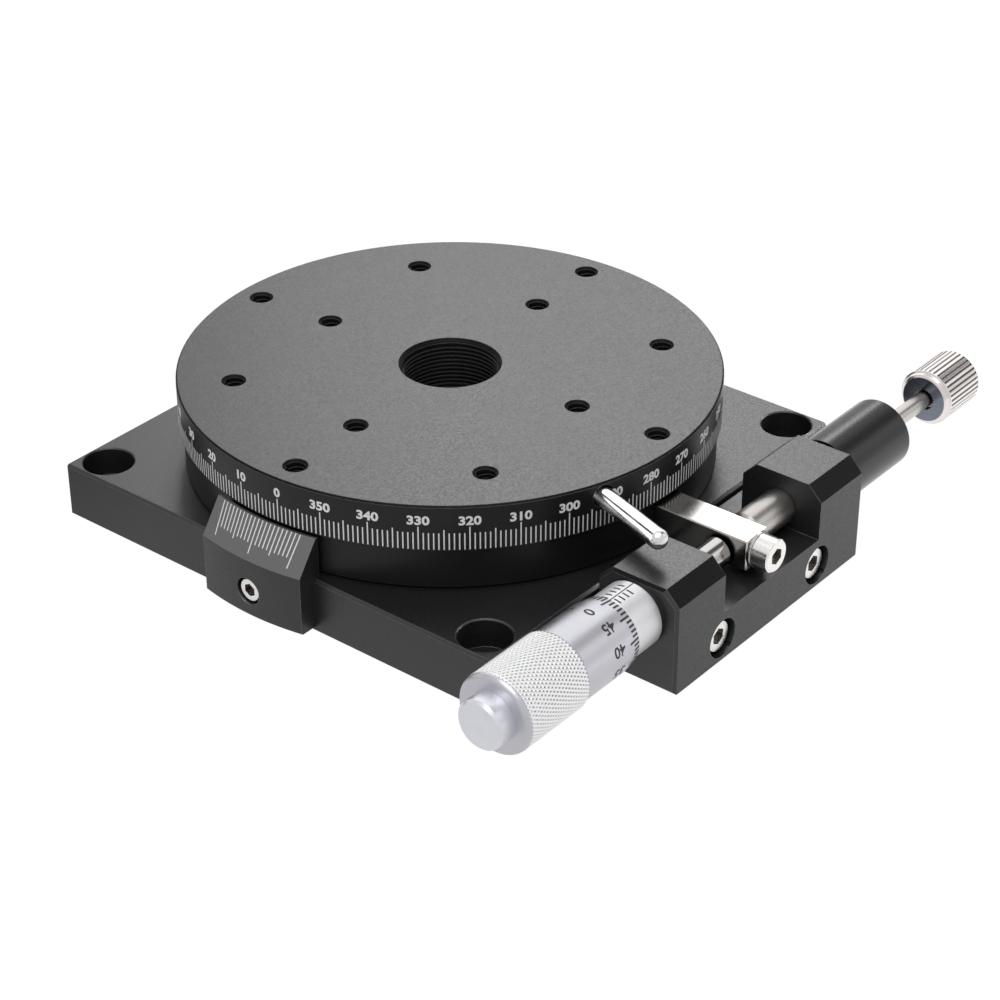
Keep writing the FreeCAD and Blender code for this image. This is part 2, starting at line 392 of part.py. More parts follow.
revolve(nut, "XZ_Plane", [("hub_tail_r + 0.02", "hub_low_z + 0.15"), ("clamp_in_r - 0.45", "hub_low_z + 0.15"), ("clamp_in_r - 0.3", "hub_low_z + 0.3"), ("clamp_in_r - 0.3", "hub_shoulder_z"), ("hub_tail_r + 0.02", "hub_shoulder_z")])

# Lock pin and its brass pad, drawn along -X and turned to their place on the rim.
lock = body("lock_pin", {"z": "lock_z"}, ((0, 0, 1), "table_turned + lock_azimuth + 180"))
revolve(lock, "XY_Plane", [("-collar_out_r - 2.2", "0"), ("-collar_out_r - 2.2", "0.85"), ("-collar_out_r - 3.15", "0.85"), ("-collar_out_r - 3.55", "pin_screw_r"), ("-table_r + 1.2", "pin_screw_r"), ("-table_r + 0.9", "pin_r"), ("-pin_end", "pin_r"), ("-pin_end", "0")], about="H_Axis")
bevel(lock, lambda e: abs(math.hypot(e.CenterOfMass.x, e.CenterOfMass.y) - size["pin_end"]) < 0.01 and e.Length > 6, "pin_r - 0.1", "Fillet")
lock_pad = body("lock_pad", {"z": "lock_z"}, ((0, 0, 1), "table_turned + lock_azimuth + 180"))
revolve(lock_pad, "XY_Plane", [("-collar_out_r - 0.05", "0"), ("-collar_out_r - 0.05", "1.2"), ("-collar_out_r - 0.2", "pin_screw_r"), ("-collar_out_r - 2.15", "pin_screw_r"), ("-collar_out_r - 2.15", "0")], about="H_Axis")

# Vernier block on the base's side, with its screw.
vernier = body("vernier_block")
s = sketch(vernier, "XZ_Plane", [[("-vernier_r + 0.2", "vernier_low_z"), ("-vernier_r", "vernier_low_z + 0.2"), ("-vernier_r", "vernier_cone_z"), ("-vernier_edge_r", "vernier_edge_z"),
                                  ("-vernier_back_r", "vernier_edge_z"), ("-vernier_back_r", "base_top"), ("-base_side/2 + 5.35", "base_top"), ("-base_side/2 + 5.35", "vernier_low_z")]])
f = feature(vernier, "Revolution", s, Angle=36)
f.ReferenceAxis = (s, ["V_Axis"])
f.Midplane = True
pocket(vernier, sketch(vernier, "XZ_Plane", [box_loop("-base_side/2", "0", "0", "base_top")]), "42.85", midplane=True)
pocket(vernier, sketch(vernier, "XY_Plane", [box_loop("-57.15", "vernier_half", "-35.7", "21.45"), box_loop("-57.15", "-21.45", "-35.7", "-vernier_half")]), "42.85", midplane=True)
hole = sketch(vernier, "YZ_Plane", circles=[("0", "vernier_screw_z", "2.35")], offset="-vernier_r - 1.15")
pocket(vernier, hole, "3.7", reverse=True)
hole = sketch(vernier, "YZ_Plane", circles=[("0", "vernier_screw_z", "1.2")], offset="-vernier_r - 1.15")
pocket(vernier, hole, "vernier_r + 1.15 - base_side/2 + 2.15", reverse=True)
vernier_screw = body("vernier_screw", {"z": "vernier_screw_z"})
revolve(vernier_screw, "XZ_Plane", [("-vernier_r + 0.45", "0"), ("-vernier_r + 0.45", "1.85"), ("-vernier_r + 0.6", "2.05"), ("-vernier_r + 2.55", "2.05"), ("-vernier_r + 2.55", "1.1"), ("-base_side/2 - 0.1", "1.1"),
                                  ("-base_side/2", "0.85"), ("-race_seat_r - 4.3", "0.85"), ("-race_seat_r - 4.3", "0")], about="H_Axis")
pocket(vernier_screw, sketch(vernier_screw, "YZ_Plane", [hexagon("0", "0", "2")], offset="-vernier_r + 0.45"), "1.3", reverse=True)

# Bracket: one block with two posts, and its two screws.
bracket = body("bracket")
loop = [("-bracket_inner_y", "bracket_low_z"), ("-bracket_outer_y", "bracket_low_z"), ("-bracket_outer_y", "bracket_top_z - bracket_bevel"), ("-bracket_outer_y + bracket_bevel", "bracket_top_z"),
        ("-post_inner_y - bracket_bevel", "bracket_top_z"), ("-post_inner_y", "bracket_top_z - bracket_bevel"), ("-post_inner_y", "pocket_floor_z"),
        ("-bracket_inner_y - floor_bevel", "pocket_floor_z"), ("-bracket_inner_y", "pocket_floor_z - floor_bevel")]
pad(bracket, sketch(bracket, "YZ_Plane", [loop], offset="-bracket_half"), "2*bracket_half")
gap = sketch(bracket, "XY_Plane", [box_loop("-pocket_half", "-71.45", "pocket_half", "-35.7")], offset="bracket_top_z + 0.7")
pocket(bracket, gap, "bracket_top_z + 0.7 - pocket_floor_z")
bevel(bracket, lambda e: abs(abs(e.BoundBox.XMin) - size["bracket_half"]) < 1e-6 and abs(e.BoundBox.XMax - e.BoundBox.XMin) < 1e-6, "0.5")
bore = sketch(bracket, "YZ_Plane", circles=[("-axis_y", "axis_z", "sleeve_seat_r + 0.03")], offset="-bracket_half - 0.7")
pocket(bracket, bore, "15.7", reverse=True)
bore = sketch(bracket, "YZ_Plane", circles=[("-axis_y", "axis_z", "plunger_r + 0.05")], offset="7.15")
pocket(bracket, bore, "21.45", reverse=True)
bore = sketch(bracket, "YZ_Plane", circles=[("-axis_y", "axis_z", "housing_seat_r + 0.03")], offset="housing_seat_x")
pocket(bracket, bore, "21.45", reverse=True)
screw = sketch(bracket, "XZ_Plane", circles=[("-bracket_screw_x", "bracket_screw_z", "3.3"), ("bracket_screw_x", "bracket_screw_z", "3.3")], offset="bracket_outer_y")
pocket(bracket, screw, "3.7", reverse=False)
screw = sketch(bracket, "XZ_Plane", circles=[("-bracket_screw_x", "bracket_screw_z", "1.55"), ("bracket_screw_x", "bracket_screw_z", "1.55")], offset="bracket_outer_y")
pocket(bracket, screw, "28.55", reverse=False)
grub = sketch(bracket, "XY_Plane", circles=[("-barrel_grub_x", "-axis_y", "1.2"), ("housing_grub_x", "-axis_y", "1.2")], offset="0")
pocket(bracket, grub, "axis_z", reverse=True)
bracket_screws = body("bracket_screws", {"z": "bracket_screw_z"}, compound=True)
head = "-bracket_outer_y + 0.8"
one = revolve(bracket_screws, "XY_Plane", [("bracket_screw_x", head), ("bracket_screw_x + 2.5", head), ("bracket_screw_x + 2.75", head + " + 0.25"), ("bracket_screw_x + 2.75", "-bracket_outer_y + 3.7"),
                                           ("bracket_screw_x + 1.4", "-bracket_outer_y + 3.7"), ("bracket_screw_x + 1.4", "-bracket_inner_y - 0.1"), ("bracket_screw_x + 1.15", "-bracket_inner_y"),
                                           ("bracket_screw_x + 1.15", "-race_seat_r - 2.85"), ("bracket_screw_x", "-race_seat_r - 2.85")], axis=(("bracket_screw_x", "0"), ("bracket_screw_x", "5")))
hexp = pocket(bracket_screws, sketch(bracket_screws, "XZ_Plane", [hexagon("bracket_screw_x", "0", "2.5")], offset="bracket_outer_y - 0.8"), "1.55")
mirrored(bracket_screws, [one, hexp])

# Micrometer: fixed sleeve, sliding spindle, turning thimble and its cap.
on_axis = {"y": "-axis_y", "z": "axis_z"}
sleeve = body("micrometer_sleeve", on_axis)
revolve(sleeve, "XY_Plane", [("-pocket_half - 0.15", "spindle_r + 0.05"), ("-pocket_half - 0.15", "sleeve_seat_r - 0.2"), ("-pocket_half - 0.35", "sleeve_seat_r"), ("-bracket_half", "sleeve_seat_r"), ("-bracket_half", "sleeve_seat_r + 0.3"),
                             ("-bracket_half - 0.7", "sleeve_seat_r + 0.3"), ("-bracket_half - 0.7", "sleeve_r - 0.15"), ("-bracket_half - 0.85", "sleeve_r"),
                             ("-sleeve_end", "sleeve_r"), ("-sleeve_end", "spindle_r + 0.05")], about="H_Axis")
spindle = body("micrometer_spindle", on_axis)
revolve(spindle, "XY_Plane", [("-spindle_tip", "0"), ("-spindle_tip - 0.1", "1.15"), ("-spindle_tip - 0.5", "2.3"), ("-spindle_tip - 0.65", "spindle_r"), ("-thimble_face + 6.95", "spindle_r"), ("-thimble_face + 6.95", "1.35"), ("-thimble_face + 1.95", "1.35"),
                              ("-thimble_face + 1.95", "0")], about="H_Axis")
thimble = body("thimble", on_axis)
revolve(thimble, "XY_Plane", [("-thimble_edge", "sleeve_r + 0.1"), ("-thimble_edge", "thimble_r - 0.4"), ("-thimble_edge - 2.6", "thimble_r"), ("-knurl_start + 0.35", "thimble_r"), ("-knurl_start", "knurl_r"),
                              ("-thimble_face + 0.8", "knurl_r"), ("-thimble_face", "knurl_r - 0.8"), ("-thimble_face", "1.4"), ("-thimble_face + 5.15", "1.4"), ("-thimble_face + 5.15", "sleeve_r + 0.1")], about="H_Axis")
cap = body("thimble_cap", on_axis)
revolve(cap, "XY_Plane", [("-thimble_face + 1.8", "0"), ("-thimble_face + 1.8", "1.35"), ("-thimble_face", "1.35"), ("-thimble_face", "cap_r"), ("-cap_end + 0.45", "cap_r"), ("-cap_end", "cap_r - 0.45"), ("-cap_end", "0")], about="H_Axis")
barrel_grub = body("barrel_grub_screw", {"x": "-barrel_grub_x", "y": "-axis_y"})
revolve(barrel_grub, "XZ_Plane", [("0", "2.3"), ("1.15", "2.3"), ("1.15", "7.55"), ("0.65", "axis_z - sleeve_seat_r - 0.02"), ("0", "axis_z - sleeve_seat_r - 0.02")])
pocket(barrel_grub, sketch(barrel_grub, "XY_Plane", [hexagon("0", "0", "1.2")], offset="2.3"), "1.05", reverse=True)

# Spring plunger: piston, rod, knob, housing, guide bush, spring and grub screw.
plunger = body("plunger", on_axis)
revolve(plunger, "XY_Plane", [("plunger_tip", "0"), ("plunger_tip + 0.2", "1.45"), ("plunger_tip + 0.6", "2.55"), ("plunger_tip + 1.05", "plunger_r"), ("plunger_tail", "plunger_r"), ("plunger_tail", "rod_r + 0.02"),
                              ("plunger_tail - 5.7", "rod_r + 0.02"), ("plunger_tail - 5.7", "0")], about="H_Axis")
rod = body("plunger_rod", on_axis)
revolve(rod, "XY_Plane", [("plunger_tail - 5.7", "0"), ("plunger_tail - 5.7", "rod_r"), ("knob_near + 5.7", "rod_r"), ("knob_near + 5.7", "0")], about="H_Axis")
housing = body("plunger_housing", on_axis)
revolve(housing, "XY_Plane", [("housing_seat_x + 0.1", "plunger_r + 0.05"), ("housing_seat_x + 0.1", "housing_seat_r"), ("bracket_half", "housing_seat_r"), ("bracket_half", "housing_r"),
                              ("housing_end - 0.35", "housing_r"), ("housing_end", "housing_r - 0.35"), ("housing_end", "2.33"), ("housing_wall_x", "2.33"), ("housing_wall_x", "plunger_r + 0.05")], about="H_Axis")
bush = body("guide_bush", on_axis)
revolve(bush, "XY_Plane", [("housing_wall_x - 0.7", "rod_r + 0.05"), ("housing_end - 0.2", "rod_r + 0.05"), ("housing_end - 0.2", "2.3"), ("housing_wall_x", "2.3"), ("housing_wall_x", "3"), ("housing_wall_x - 0.7", "3")],
        about="H_Axis")
knob = body("plunger_knob", on_axis)
revolve(knob, "XY_Plane", [("knob_near", "rod_r + 0.4"), ("knob_near", "knob_r - 0.95"), ("knob_near + 0.3", "knob_r - 0.5"), ("knob_near + 0.75", "knob_r - 0.3"), ("knob_near + 0.95", "knob_r"), ("knob_far - 0.55", "knob_r"), ("knob_far", "knob_r - 0.55"), ("knob_far", "0"), ("knob_near + 5.8", "0"),
                           ("knob_near + 5.8", "rod_r + 0.02"), ("knob_near + 0.6", "rod_r + 0.02"), ("knob_near + 0.6", "rod_r + 0.4")], about="H_Axis")
flute = pocket(knob, sketch(knob, "YZ_Plane", [[("-0.3", "knob_r + 0.15"), ("0", "knob_r - 0.3"), ("0.3", "knob_r + 0.15")]], offset="knob_near + 1.1"), "knob_far - knob_near - 1.55", reverse=True)
pattern = polar(knob, [flute], "flute_count")
pattern.Axis = (origin_part(knob, "X_Axis"), [""])
spring = body("return_spring", on_axis)
wire = sketch(spring, "XY_Plane", [box_loop("plunger_tail + 0.1", "spring_r - spring_wire/2", "plunger_tail + 0.1 + spring_wire", "spring_r + spring_wire/2")])
coil = feature(spring, "AdditiveHelix", wire)
coil.ReferenceAxis = (wire, ["H_Axis"])
coil.Mode = "pitch-turns-angle"
coil.setExpression("Pitch", linked("(housing_wall_x - 0.7 - plunger_tail - 0.15 - spring_wire)/spring_turns"))
coil.setExpression("Turns", linked("spring_turns"))
housing_grub = body("housing_grub_screw", {"x": "housing_grub_x", "y": "-axis_y"})
revolve(housing_grub, "XZ_Plane", [("0", "2.3"), ("1.15", "2.3"), ("1.15", "7.3"), ("0.65", "axis_z - housing_seat_r - 0.02"), ("0", "axis_z - housing_seat_r - 0.02")])
pocket(housing_grub, sketch(housing_grub, "XY_Plane", [hexagon("0", "0", "1.2")], offset="2.3"), "1.05", reverse=True)

doc.recompute()
bad = ["%s %s" % (o.Name, o.State) for o in doc.Objects if "Invalid" in o.State or "Error" in o.State]
for b in nodes:
    if b.Shape.isNull() or not b.Shape.isValid() or not b.Shape.Solids:
        bad.append(b.Label + " has no valid solid")
if bad:
    raise SystemExit("; ".join(bad))
os.makedirs("parts", exist_ok=True)
for b in nodes:
    b.Shape.exportStep("parts/" + b.Label + ".step")
    bb = b.Shape.BoundBox
    print("%-20s solids %2d  volume %9.1f  x %.1f..%.1f  y %.1f..%.1f  z %.1f..%.1f" % (b.Label, len(b.Shape.Solids), b.Shape.Volume, bb.XMin, bb.XMax, bb.YMin, bb.YMax, bb.ZMin, bb.ZMax))
print(len(nodes), "nodes")
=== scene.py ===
"""Looks for a manual rotation stage: anodised plates, a bearing table with an engraved rim scale,
a vernier block, and a tangent drive with a micrometer head and a spring plunger.
"""

import json
import math

import bpy
from mathutils import Matrix, Vector

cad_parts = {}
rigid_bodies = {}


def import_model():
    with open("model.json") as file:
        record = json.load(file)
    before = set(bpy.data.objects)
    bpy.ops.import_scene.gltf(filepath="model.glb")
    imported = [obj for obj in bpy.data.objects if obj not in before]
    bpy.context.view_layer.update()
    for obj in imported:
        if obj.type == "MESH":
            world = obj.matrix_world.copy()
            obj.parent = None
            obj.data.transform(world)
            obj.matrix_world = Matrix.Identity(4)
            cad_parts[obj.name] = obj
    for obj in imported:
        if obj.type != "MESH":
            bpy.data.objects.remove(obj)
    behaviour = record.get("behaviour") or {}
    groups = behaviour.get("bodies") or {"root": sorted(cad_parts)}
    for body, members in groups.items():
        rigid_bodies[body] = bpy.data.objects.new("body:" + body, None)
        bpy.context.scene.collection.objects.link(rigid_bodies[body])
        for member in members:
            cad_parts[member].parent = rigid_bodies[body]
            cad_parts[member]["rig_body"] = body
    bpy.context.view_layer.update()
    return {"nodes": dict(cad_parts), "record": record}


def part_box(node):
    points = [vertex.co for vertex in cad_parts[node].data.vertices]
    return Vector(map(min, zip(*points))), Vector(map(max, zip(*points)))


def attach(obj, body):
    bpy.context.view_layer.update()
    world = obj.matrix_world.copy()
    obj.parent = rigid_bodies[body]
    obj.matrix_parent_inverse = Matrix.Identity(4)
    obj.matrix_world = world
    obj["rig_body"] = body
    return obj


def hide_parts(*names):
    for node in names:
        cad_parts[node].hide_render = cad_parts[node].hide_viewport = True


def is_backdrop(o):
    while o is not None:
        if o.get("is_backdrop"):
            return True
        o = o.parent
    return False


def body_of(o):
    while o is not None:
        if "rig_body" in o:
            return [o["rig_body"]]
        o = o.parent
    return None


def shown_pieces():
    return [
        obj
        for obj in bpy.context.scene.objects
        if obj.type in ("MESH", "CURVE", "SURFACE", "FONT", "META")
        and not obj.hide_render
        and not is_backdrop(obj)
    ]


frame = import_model()

MM = 0.001
TURN = 2 * math.pi

# Table: its rim scale reads degrees, and it stands a little turned in the photograph.
TABLE_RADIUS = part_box("table")[1].x
TABLE_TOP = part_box("table")[1].z
TABLE_TURNED = math.radians(3.65)
RIM_ZERO = math.radians(183.65)
RIM_MARKS = 360
RIM_MARK_FOOT = 16.86 * MM
RIM_MARK_LENGTHS = (2.93 * MM, 3.5 * MM, 4.0 * MM)
RIM_MARK_WIDTH = 0.2 * MM
RIM_NUMERAL_STEP = 10
RIM_NUMERAL_FOOT = 21.25 * MM
RIM_NUMERAL_HEIGHT = 1.46 * MM
RIM_NUMERAL_BOLD = 0.075 * MM
NUMERAL_WIDENING = 1.12

# Tapped holes of the table and the thread of its centre bore.
TAP_CIRCLES = (
    ("inner", 25 * MM, 0.0),
    ("diagonal", 35.35 * MM, math.radians(45)),
    ("outer", 40 * MM, 0.0),
)
TAPS_ROUND = 4
TAP_CREST = 0.12 * MM
TAP_RADIUS = 1.65 * MM
TAP_PITCH = 0.7 * MM
TAP_FLOOR = 17.7 * MM
CENTRE_RADIUS = 7.85 * MM
CENTRE_PITCH = 0.75 * MM
CENTRE_CREST = 0.2 * MM
CENTRE_FLOOR = 14.1 * MM

# Crests start one lead above a hole's floor, and so many leads of the centre's depth stay bare.
THREAD_LEAD = 0.7 * MM
CENTRE_LEADS = 2.4

# Vernier block: a cone round the table's axis carries twenty divisions.
VERNIER_EDGE = 45.4 * MM
VERNIER_EDGE_LEVEL = 16.4 * MM
VERNIER_FOOT = 49.2 * MM
VERNIER_FOOT_LEVEL = 10.9 * MM
VERNIER_MARKS = 21
VERNIER_FIRST = math.radians(169.4)
VERNIER_STEP = math.radians(1.015)
VERNIER_SPLAY = math.radians(12.8)
VERNIER_SPLAY_STEP = math.radians(-1.0)
VERNIER_LENGTHS = (4.0 * MM, 4.6 * MM, 5.6 * MM)
VERNIER_WIDTH = 0.2 * MM

# Micrometer head, whose parts turn about a line along X.
HEAD_AXIS = Vector((0, -56.6, 12.85)) * MM
SLEEVE_RADIUS = 5.4 * MM
SLEEVE_FACE = -26.0 * MM
SLEEVE_FIRST = -28.05 * MM
SLEEVE_DIVISION = 1.0 * MM
SLEEVE_MARKS = 11
SLEEVE_MARK = 1.25 * MM
SLEEVE_LINE = 0.28 * MM
SLEEVE_NEAR_GAP = 0.3 * MM
SLEEVE_FAR_GAP = 0.5 * MM
SLEEVE_HALVES_AHEAD = 0.55 * MM
DATUM_WIDTH = 0.2 * MM
DATUM_ANGLE = math.radians(0.3)
THIMBLE_EDGE = -32.0 * MM
THIMBLE_EDGE_RADIUS = 5.7 * MM
THIMBLE_BEVEL = 2.6 * MM
THIMBLE_RADIUS = 6.1 * MM
THIMBLE_DIVISIONS = 50
THIMBLE_ZERO = math.radians(3.8)
THIMBLE_LENGTHS = (1.35 * MM, 2.4 * MM, 2.4 * MM)
THIMBLE_MARK_WIDTH = 0.34 * MM
THIMBLE_NUMERAL_GAP = 4.85 * MM
THIMBLE_NUMERAL_HEIGHT = 1.75 * MM
THIMBLE_NUMERAL_BOLD = 0.05 * MM
THIMBLE_NUMERAL_SHIFT = -0.2 * MM
KNURL_RADIUS = 6.5 * MM
KNURL_DEPTH = 0.2 * MM
KNURL_START = 44.6 * MM
KNURL_END = 57.8 * MM
KNURL_AROUND = 61
KNURL_PITCH = 1.163 * MM
KNURL_STEPS = 4
KNURL_ROOT_SINK = 0.03 * MM
LIP_SINK = 0.05 * MM
LIP_STEP = math.radians(15)
THIMBLE_FACE = 58.6 * MM
KNOB_FACE = 56.1 * MM

# Cards that shiny parts mirror: a direction, its inner and outer reach in degrees, and its light
# over the plain level. A card below that level is a dark flag.
MIRRORED_LEVEL = 0.9
CARDS = (
    (Vector((0.653, -0.254, 0.715)), 5, 20, -0.75),
    (Vector((0.653, -0.577, 0.492)), 5, 16, 0.4),
    (Vector((-0.19, 0.79, 0.575)), 4, 9, -0.88),
)

# Cards beside the lock pin: a name, the way to the card, its reach, its height in metres and its watts.
PIN_MIDDLE = Vector((-17, -50, 22)) * MM
PIN_CARD_WIDTH = 0.1
PIN_CARDS = (
    ("pin_upper_card", Vector((0.11, 0.7, 0.7)), 0.3, 0.08, 0.045),
    ("pin_side_card", Vector((-0.4, 0.87, 0.2)), 0.2, 0.1, 0.06),
    ("pin_lower_card", Vector((-0.46, 0.88, -0.1)), 0.2, 0.07, 0.16),
)
ROUND_BODIES = ("lock", "micrometer_slide", "thimble_group", "spring_plunger")
ROUND_NODES = ("micrometer_sleeve",)

# The photograph's camera.
CAMERA_PLACE = Vector((-286.984, -243.389, 230.924)) * MM
CAMERA_TARGET = Vector((4.673, -6.609, -1.644)) * MM
CAMERA_ROLL = math.radians(-0.127)
CAMERA_LENS = 94.47

# Every mark is a thin skin over its metal.
PAINT = 0.03 * MM

# The share of a font's size that a digit is high.
DIGIT_SHARE = 0.7


# Node helpers

class Nodes:
    """Adds nodes to one tree, with their sockets given by name or number."""

    def __init__(self, tree):
        self.tree = tree

    def add(self, kind, inputs=(), **settings):
        node = self.tree.nodes.new(kind)
        for name, value in settings.items():
            setattr(node, name, value)
        for socket, value in dict(inputs).items():
            target = node.inputs[socket]
            if isinstance(value, bpy.types.NodeSocket):
                self.tree.links.new(value, target)
            else:
                target.default_value = value
        return node

    def math(self, operation, *values):
        node = self.add("ShaderNodeMath", operation=operation)
        for target, value in zip(node.inputs, values):
            if isinstance(value, bpy.types.NodeSocket):
                self.tree.links.new(value, target)
            else:
                target.default_value = value
        return node.outputs[0]


# Finishes

class Finish(Nodes):
    """A material on one shader. Its patterns are placed by the object's own coordinates, in metres."""

    def __init__(self, name, colour, roughness, metallic=0.0, **sockets):
        self.material = bpy.data.materials.new(name)
        self.material.use_nodes = True
        super().__init__(self.material.node_tree)
        self.shader = self.tree.nodes["Principled BSDF"]
        self.shader.inputs["Base Color"].default_value = (*colour, 1)
        self.shader.inputs["Roughness"].default_value = roughness
        self.shader.inputs["Metallic"].default_value = metallic
        for socket, value in sockets.items():
            self.shader.inputs[socket.replace("_", " ")].default_value = value
        self.place = self.add("ShaderNodeTexCoord").outputs["Object"]
        self.normal = None

    def grain(self, scale, detail=3.0, stretch=(1, 1, 1)):
        """Noise with so many cells to the metre, stretched along an axis where a tool ran that way."""
        mapped = self.add("ShaderNodeMapping", {"Vector": self.place, "Scale": stretch}).outputs[0]
        return self.add("ShaderNodeTexNoise", {"Vector": mapped, "Scale": scale, "Detail": detail}).outputs[0]

    def spread(self, field, low, high, start=0.3, end=0.7):
        """A field spread between two numbers."""
        node = self.add("ShaderNodeMapRange", {
            "Value": field, "From Min": start, "From Max": end, "To Min": low, "To Max": high})
        return node.outputs[0]

    def tint(self, field, first, second):
        """Blends the colour between two by a field."""
        blend = self.add("ShaderNodeMix", data_type="RGBA")
        self.tree.links.new(field, blend.inputs["Factor"])
        blend.inputs["A"].default_value = (*first, 1)
        blend.inputs["B"].default_value = (*second, 1)
        self.tree.links.new(blend.outputs["Result"], self.shader.inputs["Base Color"])

    def shine(self, value):
        self.tree.links.new(value, self.shader.inputs["Roughness"])

    def relief(self, field, height, strength=1.0):
        """A field as relief of that height in metres, over any relief before it."""
        inputs = {"Height": field, "Distance": height, "Strength": strength}
        if self.normal is not None:
            inputs["Normal"] = self.normal
        self.normal = self.add("ShaderNodeBump", inputs).outputs[0]
        self.tree.links.new(self.normal, self.shader.inputs["Normal"])

    def soft_edges(self, radius):
        """Shades sharp edges as if they were broken to that radius, and returns how near an edge is."""
        bevel = self.add("ShaderNodeBevel", {"Radius": radius}, samples=4)
        flat = self.add("ShaderNodeNewGeometry").outputs["Normal"]
        dot = self.add("ShaderNodeVectorMath", {0: bevel.outputs[0], 1: flat}, operation="DOT_PRODUCT")
        self.normal = bevel.outputs[0]
        return self.spread(dot.outputs["Value"], 1.0, 0.0, 0.8, 0.995)


def anodised(name, plate_shine, wall_shine, plate_gloss, wall_gloss, bevel_share):
    """Matt black anodised aluminium: a fine blasted grain, with a painted highlight along its edges that also
    stands for wear to bare metal.

    The shines are the lowest and highest roughness of flat faces and of upright walls, and the
    glosses how strongly each of them mirrors. Bevels at 45 degrees keep a share of that.
    """
    finish = Finish(name, (0.01, 0.01, 0.011), 0.42, IOR=1.56)
    edge = finish.soft_edges(0.16 * MM)
    grain = finish.grain(2600, 2.0)
    cloud = finish.grain(60, 3.0)
    # Edges are painted lighter and partly metallic: a painted highlight, partly wear to bare metal.
    edge_glint_and_wear = finish.math("MULTIPLY", edge, finish.spread(finish.grain(900, 3.0), 0.5, 1.0))
    shade = finish.math("MULTIPLY_ADD", cloud, 0.03, edge_glint_and_wear)
    finish.tint(shade, (0.007, 0.007, 0.008), (0.3, 0.3, 0.31))
    finish.tree.links.new(finish.math("MULTIPLY", edge_glint_and_wear, 0.6), finish.shader.inputs["Metallic"])
    face = finish.add("ShaderNodeNewGeometry").outputs["True Normal"]
    upward = finish.math("ABSOLUTE", finish.add("ShaderNodeSeparateXYZ", {0: face}).outputs[2])
    off_bevel = finish.math("ABSOLUTE", finish.math("SUBTRACT", upward, math.sqrt(0.5)))
    plate = finish.spread(grain, *plate_shine)
    wall = finish.spread(grain, *wall_shine)
    finish.shine(finish.add("ShaderNodeMix", {0: upward, 2: wall, 3: plate}).outputs[0])
    gloss = finish.add("ShaderNodeMix", {0: upward, 2: wall_gloss, 3: plate_gloss}).outputs[0]
    level = finish.math("MULTIPLY", gloss, finish.spread(off_bevel, bevel_share, 1.0, 0.04, 0.12))
    finish.tree.links.new(level, finish.shader.inputs["Specular IOR Level"])
    finish.relief(grain, 0.014 * MM, 0.9)
    return finish.material


def housing_finish():
    """Semi-gloss black on the plunger's turned barrel."""
    finish = Finish("black_housing", (0.008, 0.008, 0.009), 0.25, IOR=1.46)
    finish.soft_edges(0.14 * MM)
    grain = finish.grain(2600, 2.0)
    finish.tint(finish.grain(120), (0.006, 0.006, 0.007), (0.012, 0.012, 0.013))
    finish.shine(finish.spread(grain, 0.24, 0.28))
    finish.relief(grain, 0.0006 * MM)
    return finish.material


def sleeve_finish():
    """Satin chrome on the micrometer's sleeve, soft enough to read a scale on."""
    finish = Finish("sleeve_satin", (0.7, 0.7, 0.72), 0.5, 0.65)
    finish.soft_edges(0.1 * MM)
    turned = finish.grain(1600, 2.0, (8, 0.04, 0.04))
    finish.tint(finish.grain(150), (0.74, 0.74, 0.76), (0.82, 0.82, 0.84))
    finish.shine(finish.spread(turned, 0.38, 0.48))
    finish.relief(turned, 0.003 * MM)
    return finish.material


def turned_silver_finish(name, darkest, lightest):
    """Satin chrome on the thimble and its cap, whose turned rings draw a reflection out along the axis."""
    finish = Finish(name, lightest, 0.4, 0.95, Anisotropic=0.75)
    along = finish.add("ShaderNodeCombineXYZ", {0: 1.0, 1: 0.0, 2: 0.0}).outputs[0]
    finish.tree.links.new(along, finish.shader.inputs["Tangent"])
    finish.soft_edges(0.1 * MM)
    turned = finish.grain(1600, 2.0, (8, 0.04, 0.04))
    finish.tint(finish.grain(150), darkest, lightest)
    finish.shine(finish.spread(turned, 0.3, 0.4))
    finish.relief(turned, 0.003 * MM)
    return finish.material


def knurl_finish():
    """The thimble's knurl: bright on its ridges, with painted shade darkening its pits."""
    finish = Finish("knurl_silver", (0.8, 0.8, 0.8), 0.4, 0.9)
    apart = finish.add("ShaderNodeVectorMath", {0: finish.place, 1: HEAD_AXIS}, operation="SUBTRACT")
    sides = {0: apart.outputs[0], 1: (0.0, 1.0, 1.0)}
    across = finish.add("ShaderNodeVectorMath", sides, operation="MULTIPLY")
    reach = finish.add("ShaderNodeVectorMath", {0: across.outputs[0]}, operation="LENGTH").outputs["Value"]
    # Pits are painted dark by their depth: painted shade in the recesses.
    in_pit = KNURL_RADIUS - 0.8 * KNURL_DEPTH
    on_ridge = KNURL_RADIUS - 0.1 * KNURL_DEPTH
    high = finish.spread(reach, 0.0, 1.0, in_pit, on_ridge)
    finish.tint(high, (0.28, 0.28, 0.29), (0.94, 0.94, 0.95))
    grain = finish.grain(3000, 2.0)
    finish.shine(finish.spread(grain, 0.36, 0.48))
    finish.relief(grain, 0.003 * MM)
    return finish.material


def chrome_finish():
    """Polished steel on the lock pin, with faint handling marks."""
    finish = Finish("chrome", (0.68, 0.68, 0.69), 0.14, 1.0)
    marks = finish.grain(300, 4.0)
    finish.tint(marks, (0.64, 0.64, 0.65), (0.72, 0.72, 0.72))
    finish.shine(finish.spread(marks, 0.11, 0.2))
    finish.relief(finish.grain(2500, 2.0), 0.0015 * MM)
    return finish.material


